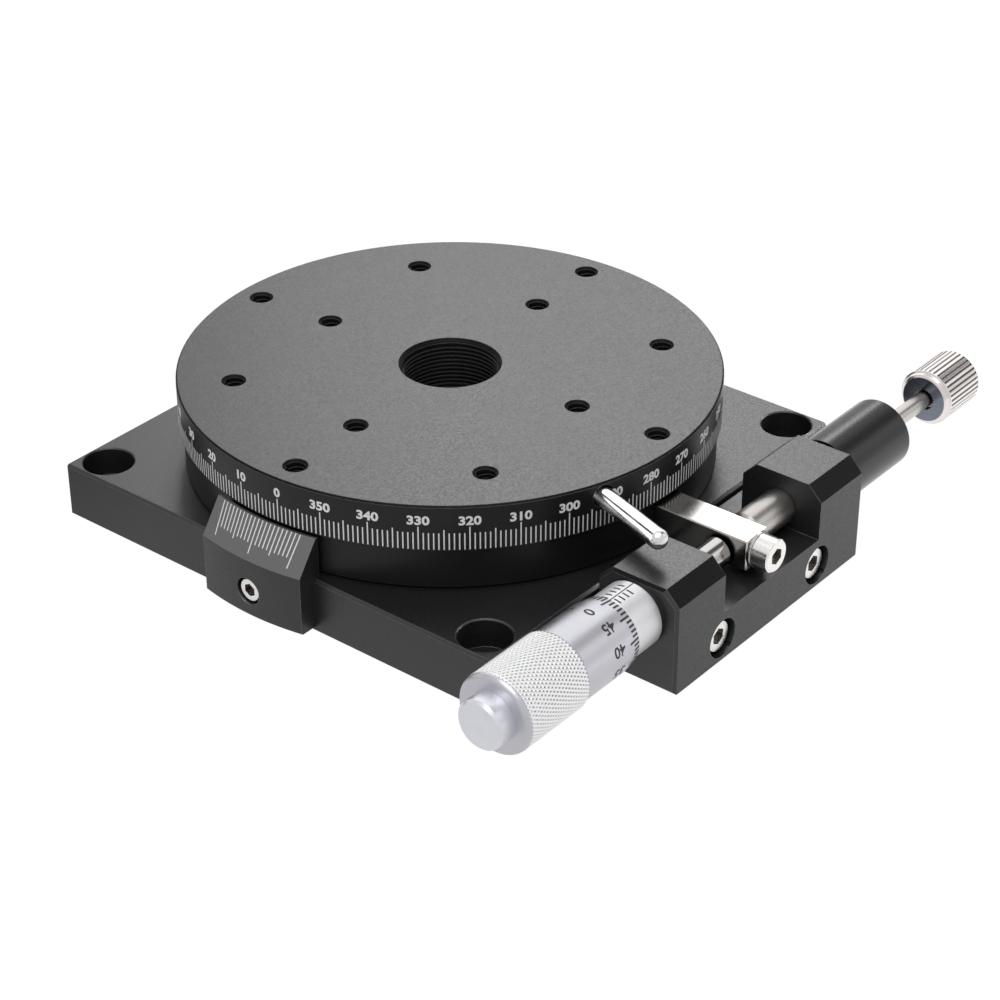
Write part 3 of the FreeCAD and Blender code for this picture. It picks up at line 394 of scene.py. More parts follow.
def steel_finish(name, sheen, corner, reach, low, high):
    """Ground steel of that sheen. Corners and sockets are painted dark as shade within that reach."""
    finish = Finish(name, sheen, low, 1.0)
    finish.soft_edges(0.08 * MM)
    lines = finish.grain(1500, 3.0, (5, 0.08, 1.0))
    # Painted shade: the colour goes to the corner colour where occlusion is high.
    open_air = finish.add("ShaderNodeAmbientOcclusion", {"Distance": reach}, samples=4).outputs["AO"]
    finish.tint(finish.spread(open_air, 0.0, 1.0, 0.42, 0.82), corner, sheen)
    finish.shine(finish.spread(lines, low, high))
    finish.relief(lines, 0.002 * MM)
    return finish.material


def knob_finish():
    """Bright turned steel on the plunger's knob, whose near face is painted dark blue-grey as a dark
    reflection, whose flutes are painted in shade and whose open parts are painted lighter.
    """
    sheen = (0.56, 0.53, 0.52)
    finish = Finish("knob_steel", sheen, 0.15, 1.0)
    finish.soft_edges(0.08 * MM)
    lines = finish.grain(1500, 3.0, (5, 0.08, 1.0))
    # The near face's dark blue-grey is a painted reflection of the shaded floor and the black housing.
    level = finish.add("ShaderNodeSeparateXYZ", {0: finish.place}).outputs[0]
    off_face = finish.spread(level, 0.0, 1.0, KNOB_FACE + 0.02 * MM, KNOB_FACE + 0.08 * MM)
    finish.tint(off_face, (0.14, 0.15, 0.18), sheen)
    metal = finish.shader.inputs["Base Color"].links[0].from_socket
    # Painted shade in the flutes and a painted lift on the open parts, by occlusion.
    open_air = finish.add("ShaderNodeAmbientOcclusion", {"Distance": 0.7 * MM}, samples=4).outputs["AO"]
    light = finish.spread(open_air, 0.42, 1.25, 0.5, 0.95)
    shade = finish.add("ShaderNodeVectorMath", {0: metal, "Scale": light}, operation="SCALE").outputs[0]
    finish.tree.links.new(shade, finish.shader.inputs["Base Color"])
    finish.shine(finish.spread(lines, 0.16, 0.24))
    finish.relief(lines, 0.002 * MM)
    return finish.material


def bearing_steel_finish():
    """Ground bearing steel on rollers and washers."""
    finish = Finish("bearing_steel", (0.58, 0.58, 0.6), 0.25, 1.0)
    lines = finish.grain(2500, 2.0, (1.0, 1.0, 4.0))
    finish.tint(lines, (0.52, 0.52, 0.54), (0.64, 0.64, 0.65))
    finish.shine(finish.spread(lines, 0.2, 0.34))
    finish.relief(lines, 0.002 * MM)
    return finish.material


def dark_steel_finish():
    """Oiled black oxide on the hidden screws."""
    finish = Finish("dark_steel", (0.06, 0.06, 0.065), 0.34, 0.6)
    grain = finish.grain(1800, 3.0)
    finish.tint(grain, (0.045, 0.045, 0.05), (0.085, 0.085, 0.09))
    finish.shine(finish.spread(grain, 0.28, 0.42))
    finish.relief(grain, 0.006 * MM)
    return finish.material


def brass_finish():
    """Turned brass on the pads and bushes."""
    finish = Finish("brass", (0.72, 0.55, 0.27), 0.28, 1.0)
    turned = finish.grain(1200, 2.0, (4, 1, 4))
    finish.tint(turned, (0.66, 0.49, 0.22), (0.78, 0.61, 0.32))
    finish.shine(finish.spread(turned, 0.22, 0.36))
    finish.relief(turned, 0.003 * MM)
    return finish.material


def paint_finish(name, colour):
    """Filled engraving: a matt paint that wears a little thin."""
    finish = Finish(name, colour, 0.5)
    wear = finish.grain(3500, 2.0)
    thin = tuple(0.86 * part + 0.02 for part in colour)
    finish.tint(wear, thin, colour)
    finish.shine(finish.spread(wear, 0.42, 0.62))
    finish.relief(wear, 0.004 * MM)
    return finish.material


def floor_finish():
    """A pale sweep that takes a soft shadow and shows as white.

    Shiny parts see painted shade and light on it: its glow dims to the left and behind and rises to the
    right.
    """
    material = bpy.data.materials.new("pale_sweep")
    material.use_nodes = True
    nodes = Nodes(material.node_tree)
    for old in list(nodes.tree.nodes):
        nodes.tree.nodes.remove(old)
    paper = nodes.add("ShaderNodeBsdfDiffuse", {"Color": (0.8, 0.8, 0.8, 1)}).outputs[0]
    ray = nodes.add("ShaderNodeLightPath").outputs
    spot = nodes.add("ShaderNodeTexCoord").outputs["Object"]
    right, back, _ = nodes.add("ShaderNodeSeparateXYZ", {0: spot}).outputs
    # Painted shade and light seen only in reflections: the glow falls off to the left and behind and rises to
    # the right.
    across = nodes.add("ShaderNodeMapRange", {
        "Value": right, "From Min": -0.08, "From Max": 0.08, "To Min": 0.85, "To Max": 1.45}).outputs[0]
    behind = nodes.add("ShaderNodeMapRange", {
        "Value": back, "From Min": 0.03, "From Max": 0.07, "To Min": 1.0, "To Max": 0.4}).outputs[0]
    sheen = nodes.math("MULTIPLY", across, behind)
    strength = nodes.add("ShaderNodeMix", {0: ray["Is Camera Ray"], 2: sheen, 3: 1.04}).outputs[0]
    glow = nodes.add("ShaderNodeEmission", {"Color": (1, 1, 1, 1), "Strength": strength}).outputs[0]
    mirrored = nodes.math("MAXIMUM", ray["Is Glossy Ray"], ray["Is Transmission Ray"])
    seen = nodes.math("MAXIMUM", ray["Is Camera Ray"], mirrored)
    share = nodes.math("MULTIPLY_ADD", ray["Is Camera Ray"], 0.15, nodes.math("MULTIPLY", seen, 0.8))
    mixed = nodes.add("ShaderNodeMixShader", {0: share, 1: paper, 2: glow}).outputs[0]
    nodes.add("ShaderNodeOutputMaterial", {"Surface": mixed})
    return material


FINISHES = {
    "black_anodised": anodised("black_anodised", (0.3, 0.42), (0.36, 0.5), 0.5, 0.46, 1.0),
    "black_housing": housing_finish(),
    # The blue cast of this silver is a painted reflection of bluish light from below.
    "satin_silver": turned_silver_finish("satin_silver", (0.54, 0.54, 0.58), (0.6, 0.6, 0.64)),
    "chrome": chrome_finish(),
    "polished_steel": steel_finish(
        "polished_steel", (0.5, 0.485, 0.465), (0.06, 0.055, 0.05), 1.4 * MM, 0.16, 0.27),
    "bearing_steel": bearing_steel_finish(),
    "dark_steel": dark_steel_finish(),
    "brass": brass_finish(),
}
TURNED_BLACK = anodised("turned_black", (0.3, 0.42), (0.3, 0.4), 0.4, 0.2, 0.12)
MILLED_BLACK = anodised("milled_black", (0.3, 0.42), (0.36, 0.5), 0.5, 0.5, 0.12)
TAPPED_BLACK = anodised("tapped_black", (0.4, 0.5), (0.4, 0.5), 0.2, 0.15, 1.0)
SCREW_STEEL = steel_finish("screw_steel", (0.85, 0.83, 0.81), (0.09, 0.07, 0.06), 1.6 * MM, 0.2, 0.3)
DRAWN_STEEL = steel_finish("drawn_steel", (0.5, 0.475, 0.455), (0.05, 0.045, 0.045), 1.2 * MM, 0.26, 0.36)
NODE_FINISHES = {
    "vernier_block": anodised("blasted_black", (0.36, 0.48), (0.36, 0.5), 2.4, 0.46, 1.0),
    "table": TURNED_BLACK,
    "drive_ring": TURNED_BLACK,
    "bracket": MILLED_BLACK,
    "micrometer_sleeve": sleeve_finish(),
    # The blue cast of this silver is a painted reflection of bluish light from below.
    "thimble_cap": turned_silver_finish("cap_silver", (0.74, 0.74, 0.8), (0.8, 0.8, 0.86)),
    "micrometer_spindle": steel_finish(
        "ground_steel", (0.5, 0.48, 0.47), (0.04, 0.035, 0.035), 1.2 * MM, 0.08, 0.14),
    "plunger": DRAWN_STEEL,
    "plunger_rod": DRAWN_STEEL,
    "plunger_knob": knob_finish(),
    "arm_end_screw": SCREW_STEEL,
    "bracket_screws": SCREW_STEEL,
    "vernier_screw": SCREW_STEEL,
}
KNURL_FINISH = knurl_finish()
WHITE_PAINT = paint_finish("white_paint", (0.93, 0.93, 0.93))
BLACK_INK = paint_finish("black_ink", (0.02, 0.02, 0.022))


def dress_nodes():
    """Gives each CAD node the finish of its material slot."""
    for part in frame["record"]["subparts"]:
        mesh = frame["nodes"][part["node"]].data
        mesh.materials.clear()
        mesh.materials.append(NODE_FINISHES.get(part["node"], FINISHES[part["material_slot"]]))


# Geometry Nodes

class Grower(Nodes):
    """A Geometry Nodes tree whose named inputs are the sizes of what it makes."""

    def __init__(self, name, **sizes):
        super().__init__(bpy.data.node_groups.new(name, "GeometryNodeTree"))
        face = self.tree.interface
        face.new_socket("Geometry", in_out="OUTPUT", socket_type="NodeSocketGeometry")
        for label, kind in [*sizes.items(), ("material", "Material")]:
            face.new_socket(label, in_out="INPUT", socket_type="NodeSocket" + kind)
        self.given = self.add("NodeGroupInput").outputs

    def finish(self, geometry):
        """Ends the tree with real geometry that has its material."""
        real = self.add("GeometryNodeRealizeInstances", {0: geometry}).outputs[0]
        inputs = {0: real, "Material": self.given["material"]}
        dressed = self.add("GeometryNodeSetMaterial", inputs).outputs[0]
        self.add("NodeGroupOutput", {0: dressed})
        return self.tree


def grow(tree, name, **sizes):
    """Runs a tree once with its sizes and keeps what it makes as a plain mesh object."""
    piece = bpy.data.objects.new(name, bpy.data.meshes.new(name))
    bpy.context.scene.collection.objects.link(piece)
    modifier = piece.modifiers.new("grow", "NODES")
    modifier.node_group = tree
    for item in tree.interface.items_tree:
        if item.in_out == "INPUT":
            modifier[item.identifier] = sizes[item.name]
    graph = bpy.context.evaluated_depsgraph_get()
    made = bpy.data.meshes.new_from_object(piece.evaluated_get(graph))
    piece.modifiers.clear()
    piece.data = made
    made.name = name
    return piece


def marks_tree():
    """Thin bars on a cylinder or a cone round Z: short, medium at every fifth and long at every tenth."""
    nodes = Grower(
        "scale_marks", count="Int", radius="Float", level="Float", lean="Float", first="Float",
        step="Float", splay="Float", splay_step="Float", short="Float", medium="Float", long="Float",
        width="Float", paint="Float")
    given = nodes.given
    index = nodes.add("GeometryNodeInputIndex").outputs[0]

    def every(number):
        rest = nodes.math("MODULO", index, number)
        return nodes.math("COMPARE", rest, 0.0, 0.1)

    more = nodes.math("MULTIPLY", every(5.0), nodes.math("SUBTRACT", given["medium"], given["short"]))
    most = nodes.math("MULTIPLY", every(10.0), nodes.math("SUBTRACT", given["long"], given["medium"]))
    length = nodes.math("ADD", nodes.math("ADD", given["short"], more), most)
    angle = nodes.math("ADD", given["first"], nodes.math("MULTIPLY", index, given["step"]))
    half = nodes.math("MULTIPLY", length, 0.5)
    out = nodes.math("MULTIPLY_ADD", nodes.math("SINE", given["lean"]), half, given["radius"])
    up = nodes.math("MULTIPLY_ADD", nodes.math("COSINE", given["lean"]), half, given["level"])
    splay = nodes.math("MULTIPLY_ADD", index, given["splay_step"], given["splay"])
    middle = nodes.math("ADD", angle, nodes.math("DIVIDE", nodes.math("MULTIPLY", half, splay), out))
    place = nodes.add("ShaderNodeCombineXYZ", {
        0: nodes.math("MULTIPLY", out, nodes.math("COSINE", middle)),
        1: nodes.math("MULTIPLY", out, nodes.math("SINE", middle)),
        2: up}).outputs[0]
    points = nodes.add("GeometryNodePoints", {"Count": given["count"], "Position": place}).outputs[0]
    size = nodes.add("ShaderNodeCombineXYZ", {0: given["paint"], 1: given["width"], 2: 1.0}).outputs[0]
    bar = nodes.add("GeometryNodeMeshCube", {"Size": size}).outputs[0]
    swing = nodes.math("MULTIPLY", splay, -1.0)
    euler = nodes.add("ShaderNodeCombineXYZ", {0: swing, 1: given["lean"], 2: middle}).outputs[0]
    turned = nodes.add("FunctionNodeEulerToRotation", {0: euler}).outputs[0]
    scale = nodes.add("ShaderNodeCombineXYZ", {0: 1.0, 1: 1.0, 2: length}).outputs[0]
    bars = nodes.add("GeometryNodeInstanceOnPoints", {
        "Points": points, "Instance": bar, "Rotation": turned, "Scale": scale}).outputs[0]
    return nodes.finish(bars)


def sleeve_marks_tree():
    """Short arcs round Z beside a datum line, one division apart along it."""
    nodes = Grower(
        "sleeve_marks", count="Int", radius="Float", level="Float", step="Float", first="Float",
        sweep="Float", width="Float", paint="Float")
    given = nodes.given
    arc = nodes.add("GeometryNodeCurveArc", {
        "Resolution": 8, "Radius": given["radius"], "Start Angle": given["first"],
        "Sweep Angle": given["sweep"]}, mode="RADIUS").outputs[0]
    section = nodes.add("GeometryNodeCurvePrimitiveQuadrilateral", {
        "Width": given["paint"], "Height": given["width"]}, mode="RECTANGLE").outputs[0]
    mark = nodes.add("GeometryNodeCurveToMesh", {
        "Curve": arc, "Profile Curve": section, "Fill Caps": True}).outputs[0]
    index = nodes.add("GeometryNodeInputIndex").outputs[0]
    up = nodes.math("MULTIPLY_ADD", index, given["step"], given["level"])
    place = nodes.add("ShaderNodeCombineXYZ", {0: 0.0, 1: 0.0, 2: up}).outputs[0]
    points = nodes.add("GeometryNodePoints", {"Count": given["count"], "Position": place}).outputs[0]
    marks = nodes.add("GeometryNodeInstanceOnPoints", {"Points": points, "Instance": mark}).outputs[0]
    return nodes.finish(marks)


def thread_tree():
    """The crests of an inside thread, one helix in each hole of a circle of holes."""
    nodes = Grower(
        "inside_thread", count="Int", circle="Float", first="Float", bore="Float", crest="Float",
        pitch="Float", floor="Float", turns="Float")
    given = nodes.given
    height = nodes.math("MULTIPLY", given["pitch"], given["turns"])
    spiral = nodes.add("GeometryNodeCurveSpiral", {
        "Resolution": 32, "Rotations": given["turns"], "Start Radius": given["bore"],
        "End Radius": given["bore"], "Height": height}).outputs[0]
    ridge = nodes.add("GeometryNodeCurvePrimitiveCircle", {
        "Resolution": 4, "Radius": given["crest"]}, mode="RADIUS").outputs[0]
    helix = nodes.add("GeometryNodeCurveToMesh", {
        "Curve": spiral, "Profile Curve": ridge, "Fill Caps": True}).outputs[0]
    index = nodes.add("GeometryNodeInputIndex").outputs[0]
    share = nodes.math("DIVIDE", index, given["count"])
    angle = nodes.math("MULTIPLY_ADD", share, TURN, given["first"])
    place = nodes.add("ShaderNodeCombineXYZ", {
        0: nodes.math("MULTIPLY", given["circle"], nodes.math("COSINE", angle)),
        1: nodes.math("MULTIPLY", given["circle"], nodes.math("SINE", angle)),
        2: given["floor"]}).outputs[0]
    points = nodes.add("GeometryNodePoints", {"Count": given["count"], "Position": place}).outputs[0]
    threads = nodes.add("GeometryNodeInstanceOnPoints", {"Points": points, "Instance": helix}).outputs[0]
    return nodes.finish(threads)


def knurl_tree():
    """A closed band round Z with diamond knurling: two crossing sets of ridges with pits between."""
    nodes = Grower(
        "diamond_knurl", around="Int", rows="Int", radius="Float", depth="Float", level="Float",
        length="Float")
    given = nodes.given
    columns = nodes.math("MULTIPLY", given["around"], KNURL_STEPS)
    across = nodes.math("ADD", columns, 1)
    lines = nodes.math("ADD", given["rows"], 2)
    grid = nodes.add("GeometryNodeMeshGrid", {"Vertices X": lines, "Vertices Y": across}).outputs[0]
    index = nodes.add("GeometryNodeInputIndex").outputs[0]
    row = nodes.math("FLOOR", nodes.math("DIVIDE", index, across))
    column = nodes.math("SUBTRACT", index, nodes.math("MULTIPLY", row, across))
    last = nodes.math("COMPARE", row, nodes.math("ADD", given["rows"], 1), 0.1)
    shown = nodes.math("MULTIPLY", row, nodes.math("SUBTRACT", 1.0, last))

    def ramp(sign):
        phase = nodes.math("MULTIPLY", nodes.math("MULTIPLY_ADD", shown, sign, column), 1 / KNURL_STEPS)
        return nodes.math("PINGPONG", phase, 0.5)

    middle = nodes.math("MINIMUM", ramp(1.0), ramp(-1.0))
    pit = nodes.math("MAXIMUM", nodes.math("MULTIPLY_ADD", middle, 3.0, -0.5), 0.0)
    near_edge = nodes.math("MULTIPLY", nodes.math("COMPARE", shown, 0.0, 0.1), 0.3)
    far_edge = nodes.math("MULTIPLY", nodes.math("COMPARE", shown, given["rows"], 0.1), 1.2)
    sunk = nodes.math("ADD", pit, nodes.math("ADD", near_edge, far_edge))
    radius = nodes.math("SUBTRACT", given["radius"], nodes.math("MULTIPLY", given["depth"], sunk))
    angle = nodes.math("MULTIPLY", nodes.math("DIVIDE", column, columns), TURN)
    along = nodes.math("MULTIPLY", nodes.math("DIVIDE", shown, given["rows"]), given["length"])
    place = nodes.add("ShaderNodeCombineXYZ", {
        0: nodes.math("MULTIPLY", radius, nodes.math("COSINE", angle)),
        1: nodes.math("MULTIPLY", radius, nodes.math("SINE", angle)),
        2: nodes.math("ADD", given["level"], along)}).outputs[0]
    band = nodes.add("GeometryNodeSetPosition", {"Geometry": grid, "Position": place}).outputs[0]
    closed = nodes.add("GeometryNodeMergeByDistance", {"Geometry": band, "Distance": 1e-7}).outputs[0]
    return nodes.finish(closed)


# Pieces

def onto_head(piece):
    """Turns a piece made round Z so that it lies round the micrometer's axis, with Z along X."""
    lying = Matrix(((0, 0, 1, 0), (0, -1, 0, 0), (1, 0, 0, 0), (0, 0, 0, 1)))
    piece.data.transform(Matrix.Translation(HEAD_AXIS) @ lying)
    return piece


def mount(piece, body):
    """Lets a finished piece ride on its body."""
    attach(piece, body)
    return piece


def outline_of(text, height, bold, align):
    """A line of text as flat polygons, with its digits of that height."""
    curve = bpy.data.curves.new("numeral", "FONT")
    curve.body = text
    curve.align_x = align
    curve.size = height / DIGIT_SHARE
    curve.offset = bold
    curve.extrude = PAINT / 2
    curve.resolution_u = 3
    holder = bpy.data.objects.new("numeral", curve)
    bpy.context.scene.collection.objects.link(holder)
    graph = bpy.context.evaluated_depsgraph_get()
    mesh = bpy.data.meshes.new_from_object(holder.evaluated_get(graph))
    bpy.data.objects.remove(holder)
    return mesh


def numerals(name, entries, material, align="CENTER"):
    """One mesh of many numerals. Each entry is a text, its height, its boldness and a map of its points."""
    points = []
    faces = []
    for text, height, bold, place in entries:
        mesh = outline_of(text, height, bold, align)
        start = len(points)
        points += [place(*vertex.co) for vertex in mesh.vertices]
        faces += [[start + corner for corner in face.vertices] for face in mesh.polygons]
        bpy.data.meshes.remove(mesh)
    made = bpy.data.meshes.new(name)
    made.from_pydata(points, [], faces)
    made.materials.append(material)
    made.update()
    piece = bpy.data.objects.new(name, made)
    bpy.context.scene.collection.objects.link(piece)
    return piece


def lathe(name, profile, material, steps=160):
    """A closed solid round Z from (level, radius) points, whose ends are capped."""
    points = []
    faces = []
    for level, radius in profile:
        points += [(radius * math.cos(TURN * i / steps), radius * math.sin(TURN * i / steps), level)
                   for i in range(steps)]
    for ring in range(len(profile) - 1):
        for i in range(steps):
            j = (i + 1) % steps
            low = ring * steps
            high = low + steps
            faces.append((low + i, low + j, high + j, high + i))
    faces.append(tuple(reversed(range(steps))))
    faces.append(tuple(range(len(points) - steps, len(points))))
    made = bpy.data.meshes.new(name)
    made.from_pydata(points, [], faces)
    made.materials.append(material)
    made.shade_smooth()
    made.set_sharp_from_angle(angle=math.radians(20))
    piece = bpy.data.objects.new(name, made)
    bpy.context.scene.collection.objects.link(piece)
    return piece


def rim_scale(marks):
    """Degree marks and numerals round the table's rim."""
    short, medium, long = RIM_MARK_LENGTHS
    piece = grow(
        marks, "rim_marks", count=RIM_MARKS, radius=TABLE_RADIUS, level=RIM_MARK_FOOT, lean=0.0,
        first=RIM_ZERO, step=-TURN / RIM_MARKS, splay=0.0, splay_step=0.0, short=short, medium=medium,
        long=long, width=RIM_MARK_WIDTH, paint=PAINT, material=WHITE_PAINT)
    mount(piece, "turntable")

    def on_rim(angle):
        def place(right, up, out):
            around = angle + NUMERAL_WIDENING * right / TABLE_RADIUS
            radius = TABLE_RADIUS + out
            return (radius * math.cos(around), radius * math.sin(around), RIM_NUMERAL_FOOT + up)
        return place

    entries = [
        (str(degrees), RIM_NUMERAL_HEIGHT, RIM_NUMERAL_BOLD, on_rim(RIM_ZERO - math.radians(degrees)))
        for degrees in range(0, RIM_MARKS, RIM_NUMERAL_STEP)]
    mount(numerals("rim_numerals", entries, WHITE_PAINT), "turntable")


def vernier_scale(marks):
    """Twenty divisions on the vernier block's cone, from its upper edge down."""
    lean = math.atan2(VERNIER_FOOT - VERNIER_EDGE, VERNIER_FOOT_LEVEL - VERNIER_EDGE_LEVEL)
    short, medium, long = VERNIER_LENGTHS
    piece = grow(
        marks, "vernier_marks", count=VERNIER_MARKS, radius=VERNIER_EDGE, level=VERNIER_EDGE_LEVEL,
        lean=lean, first=VERNIER_FIRST, step=VERNIER_STEP, splay=VERNIER_SPLAY,
        splay_step=VERNIER_SPLAY_STEP, short=short, medium=medium, long=long,
        width=VERNIER_WIDTH, paint=PAINT, material=WHITE_PAINT)
    mount(piece, "base")


def sleeve_scale(marks, arcs):
    """The sleeve's datum line, with millimetres on its near side and halves on its far side."""
    reach = SLEEVE_MARKS * SLEEVE_DIVISION
    line = grow(
        marks, "sleeve_datum", count=1, radius=SLEEVE_RADIUS, level=SLEEVE_FACE, lean=math.pi,
        first=DATUM_ANGLE, step=0.0, splay=0.0, splay_step=0.0, short=reach, medium=reach, long=reach,
        width=DATUM_WIDTH, paint=PAINT, material=BLACK_INK)
    mount(onto_head(line), "base")
    sweep = SLEEVE_MARK / SLEEVE_RADIUS
    near = SLEEVE_NEAR_GAP / SLEEVE_RADIUS
    far = -SLEEVE_FAR_GAP / SLEEVE_RADIUS - sweep
    rows = (("sleeve_millimetres", 0.0, near), ("sleeve_halves", SLEEVE_HALVES_AHEAD, far))
    for name, ahead, start in rows:
        piece = grow(
            arcs, name, count=SLEEVE_MARKS - 1, radius=SLEEVE_RADIUS, level=SLEEVE_FIRST + ahead,
            step=-SLEEVE_DIVISION, first=DATUM_ANGLE + start, sweep=sweep,
            width=SLEEVE_LINE, paint=PAINT, material=BLACK_INK)
        mount(onto_head(piece), "base")


def thimble_scale(marks):
    """Fifty divisions on the thimble's bevel and a numeral at every fifth."""
    lean = math.pi - math.atan2(THIMBLE_RADIUS - THIMBLE_EDGE_RADIUS, THIMBLE_BEVEL)
    short, medium, long = THIMBLE_LENGTHS
    piece = grow(
        marks, "thimble_marks", count=THIMBLE_DIVISIONS, radius=THIMBLE_EDGE_RADIUS, level=THIMBLE_EDGE,
        lean=lean, first=THIMBLE_ZERO, step=TURN / THIMBLE_DIVISIONS, splay=0.0, splay_step=0.0,
        short=short, medium=medium, long=long, width=THIMBLE_MARK_WIDTH, paint=PAINT, material=BLACK_INK)
    mount(onto_head(piece), "thimble_group")

    def on_thimble(angle):
        def place(right, up, out):
            around = angle + up / THIMBLE_RADIUS
            radius = THIMBLE_RADIUS + out
            along = THIMBLE_EDGE - THIMBLE_NUMERAL_GAP - right
            return (radius * math.cos(around), radius * math.sin(around), along)
        return place

    entries = []
    for number in range(0, THIMBLE_DIVISIONS, 5):
        angle = THIMBLE_ZERO + (THIMBLE_DIVISIONS - number) % THIMBLE_DIVISIONS / THIMBLE_DIVISIONS * TURN
        foot = angle + (THIMBLE_NUMERAL_SHIFT - THIMBLE_NUMERAL_HEIGHT / 2) / THIMBLE_RADIUS
        entries.append((str(number), THIMBLE_NUMERAL_HEIGHT, THIMBLE_NUMERAL_BOLD, on_thimble(foot)))
    mount(onto_head(numerals("thimble_numerals", entries, BLACK_INK)), "thimble_group")


def thimble(knurl):
    """The thimble: a lathed barrel with a diamond knurl for the fingers."""
    root = KNURL_RADIUS - KNURL_DEPTH - KNURL_ROOT_SINK
    lip = KNURL_RADIUS - LIP_SINK
    bend = THIMBLE_FACE - KNURL_END - 0.02 * MM
    turns = [step * LIP_STEP for step in range(7)]
    rounded = [
        (-THIMBLE_FACE + bend * (1 - math.sin(turn)), lip - bend * (1 - math.cos(turn))) for turn in turns]
    profile = (
        (THIMBLE_EDGE, THIMBLE_EDGE_RADIUS),
        (THIMBLE_EDGE - THIMBLE_BEVEL, THIMBLE_RADIUS),
        (-KNURL_START + 0.3 * MM, THIMBLE_RADIUS),
        (-KNURL_START, root),
        (-KNURL_END, root),
        *rounded,
        (-THIMBLE_FACE, lip - 1.2 * bend),
    )
    barrel = onto_head(lathe("thimble_barrel", tuple(reversed(profile)), FINISHES["satin_silver"]))
    mount(barrel, "thimble_group")
    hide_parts("thimble")
    length = KNURL_END - KNURL_START
    rows = round(KNURL_STEPS * length / KNURL_PITCH)
    band = grow(
        knurl, "thimble_knurl", around=KNURL_AROUND, rows=rows, radius=KNURL_RADIUS, depth=KNURL_DEPTH,
        level=-KNURL_END, length=length, material=KNURL_FINISH)
    mount(onto_head(band), "thimble_group")


def threads(tree):
    """Thread crests in the table's tapped holes and its centre bore."""
    for name, circle, offset in TAP_CIRCLES:
        piece = grow(
            tree, "tap_threads_" + name, count=TAPS_ROUND, circle=circle, first=TABLE_TURNED + offset,
            bore=TAP_RADIUS, crest=TAP_CREST, pitch=TAP_PITCH, floor=TAP_FLOOR + THREAD_LEAD,
            turns=(TABLE_TOP - TAP_FLOOR - 2 * THREAD_LEAD) / TAP_PITCH,
            material=TAPPED_BLACK)
        mount(piece, "turntable")
    piece = grow(
        tree, "centre_thread_crests", count=1, circle=0.0, first=0.0, bore=CENTRE_RADIUS,
        crest=CENTRE_CREST, pitch=CENTRE_PITCH, floor=CENTRE_FLOOR + THREAD_LEAD,
        turns=(TABLE_TOP - CENTRE_FLOOR - CENTRE_LEADS * THREAD_LEAD) / CENTRE_PITCH,
        material=TAPPED_BLACK)
    mount(piece, "turntable")


# Studio

def camera():
    """The photograph's view: a long lens from the front left, above the table."""
    data = bpy.data.cameras.new("camera")
    data.sensor_fit = "HORIZONTAL"
    data.sensor_width = 36
    data.lens = CAMERA_LENS
    data.clip_start = 0.01
    data.clip_end = 20
    view = bpy.data.objects.new("camera", data)
    bpy.context.scene.collection.objects.link(view)
    level = (CAMERA_TARGET - CAMERA_PLACE).to_track_quat("-Z", "Y").to_matrix().to_4x4()
    view.matrix_world = Matrix.Translation(CAMERA_PLACE) @ level @ Matrix.Rotation(CAMERA_ROLL, 4, "Z")
    bpy.context.scene.camera = view


def softbox(name, place, target, width, height, watts):
    """A rectangular area light that faces its target."""
    data = bpy.data.lights.new(name, "AREA")
    data.shape = "RECTANGLE"
    data.size = width
    data.size_y = height
    data.energy = watts
    lamp = bpy.data.objects.new(name, data)
    bpy.context.scene.collection.objects.link(lamp)
    lamp.location = place
    lamp.visible_camera = False
    lamp.rotation_mode = "QUATERNION"
    lamp.rotation_quaternion = (Vector(target) - Vector(place)).to_track_quat("-Z", "Y")
    return lamp


def shine_on(lamp, pieces, alone=False):
    """Keeps a lamp to these pieces, as a card would in the studio. Alone, nothing else shades them."""
    lit = bpy.data.collections.new(lamp.name + "_lit")
    for piece in pieces:
        lit.objects.link(piece)
    lamp.light_linking.receiver_collection = lit
    if alone:
        lamp.light_linking.blocker_collection = lit


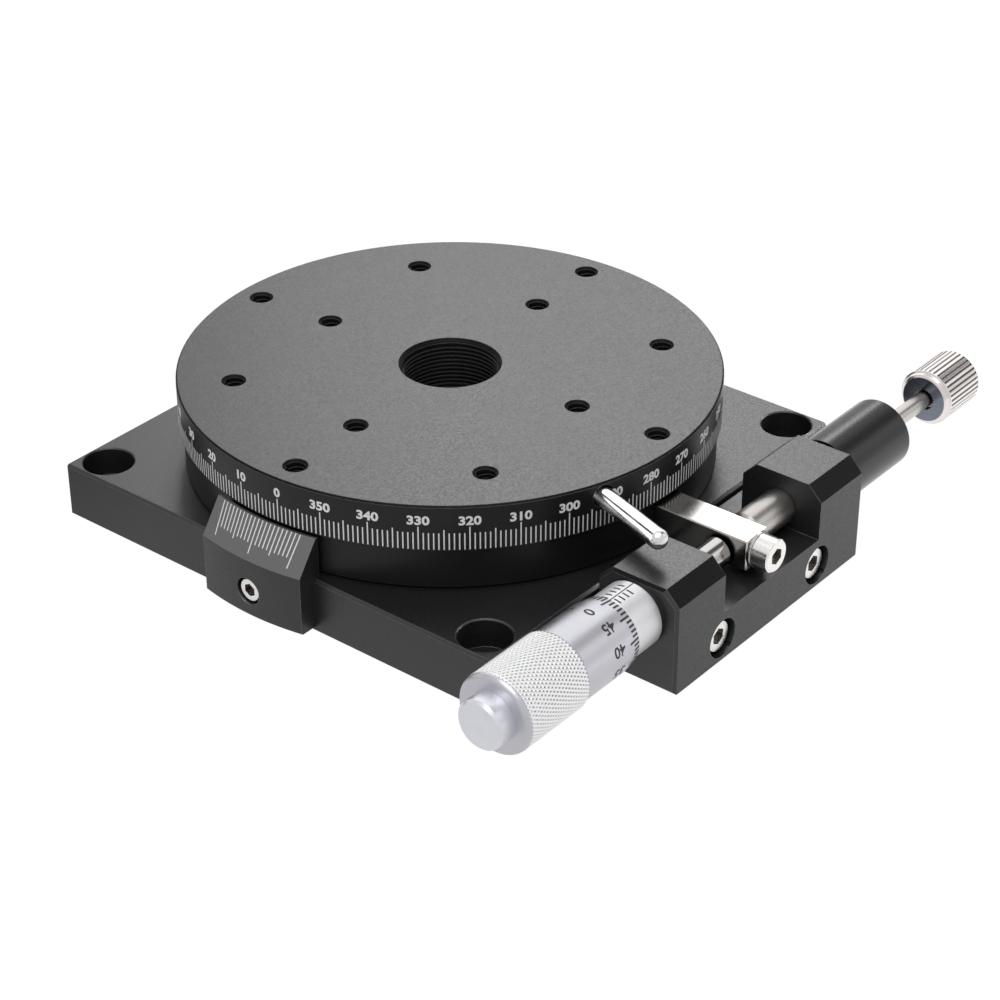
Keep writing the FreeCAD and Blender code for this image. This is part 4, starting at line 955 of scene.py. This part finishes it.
def studio_air():
    """A plain world: white to the camera, soft to surfaces, and cards that shiny parts mirror."""
    world = bpy.data.worlds.new("studio_air")
    bpy.context.scene.world = world
    world.use_nodes = True
    nodes = Nodes(world.node_tree)
    for old in list(nodes.tree.nodes):
        nodes.tree.nodes.remove(old)
    ray = nodes.add("ShaderNodeLightPath").outputs
    towards = nodes.add("ShaderNodeTexCoord").outputs["Generated"]
    unit = nodes.add("ShaderNodeVectorMath", {0: towards}, operation="NORMALIZE").outputs[0]
    level = MIRRORED_LEVEL
    for direction, inner, outer, light in CARDS:
        sides = {0: unit, 1: direction.normalized()}
        near = nodes.add("ShaderNodeVectorMath", sides, operation="DOT_PRODUCT")
        card = nodes.add("ShaderNodeMapRange", {
            "Value": near.outputs["Value"], "From Min": math.cos(math.radians(outer)),
            "From Max": math.cos(math.radians(inner)), "To Max": light}, interpolation_type="SMOOTHSTEP")
        level = nodes.math("ADD", card.outputs[0], level)
    plain = nodes.add("ShaderNodeBackground", {"Color": (1, 1, 1, 1), "Strength": 0.4}).outputs[0]
    white = nodes.add("ShaderNodeBackground", {"Color": (1, 1, 1, 1), "Strength": 1.0}).outputs[0]
    gloss = nodes.add("ShaderNodeBackground", {
        "Color": (1, 1, 1, 1), "Strength": level}).outputs[0]
    mirrored = nodes.math("MAXIMUM", ray["Is Glossy Ray"], ray["Is Transmission Ray"])
    first = nodes.add("ShaderNodeMixShader", {0: mirrored, 1: plain, 2: gloss}).outputs[0]
    both = nodes.add("ShaderNodeMixShader", {0: ray["Is Camera Ray"], 1: first, 2: white}).outputs[0]
    nodes.add("ShaderNodeOutputWorld", {"Surface": both})


def sweep():
    """The floor under the stage."""
    made = bpy.data.meshes.new("floor")
    half = 3.0
    corners = [(-half, -half, 0), (half, -half, 0), (half, half, 0), (-half, half, 0)]
    made.from_pydata(corners, [], [(0, 1, 2, 3)])
    made.materials.append(floor_finish())
    floor = bpy.data.objects.new("floor", made)
    bpy.context.scene.collection.objects.link(floor)
    floor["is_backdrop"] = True
    return floor


def studio():
    """Camera, floor, world and lamps. Round bright parts have a softbox of their own, the pin three cards."""
    camera()
    floor = sweep()
    studio_air()
    middle = (0, 0, 0.02)
    bodies = {piece: body_of(piece)[0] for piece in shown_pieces()}
    round_parts = [
        piece for piece, body in bodies.items() if body in ROUND_BODIES or piece.name in ROUND_NODES]
    plates = [piece for piece in bodies if piece not in round_parts]
    small = softbox("back_softbox", (0.64, 0.455, 0.575), middle, 0.38, 0.33, 1.8)
    shine_on(small, [*plates, floor])
    broad = softbox("round_softbox", (0.66, 0.48, 0.48), middle, 1.2, 1.0, 2.4)
    shine_on(broad, [piece for piece in round_parts if piece.name != "thimble_knurl"])
    glint = softbox("edge_card", (0.75, -0.43, 0.4), middle, 0.3, 0.15, 3.0)
    shine_on(glint, [piece for piece in plates if piece.name == "base_plate"])
    for name, way, reach, tall, watts in PIN_CARDS:
        card = softbox(name, PIN_MIDDLE + reach * way, PIN_MIDDLE, PIN_CARD_WIDTH, tall, watts)
        shine_on(card, [piece for piece, body in bodies.items() if body == "lock"], alone=True)
    softbox("top_softbox", (-0.3, -0.2, 1.0), middle, 0.9, 0.9, 5.0)


dress_nodes()
marks = marks_tree()
rim_scale(marks)
vernier_scale(marks)
sleeve_scale(marks, sleeve_marks_tree())
thimble(knurl_tree())
thimble_scale(marks)
threads(thread_tree())
studio()

bpy.context.scene.view_settings.view_transform = "Standard"
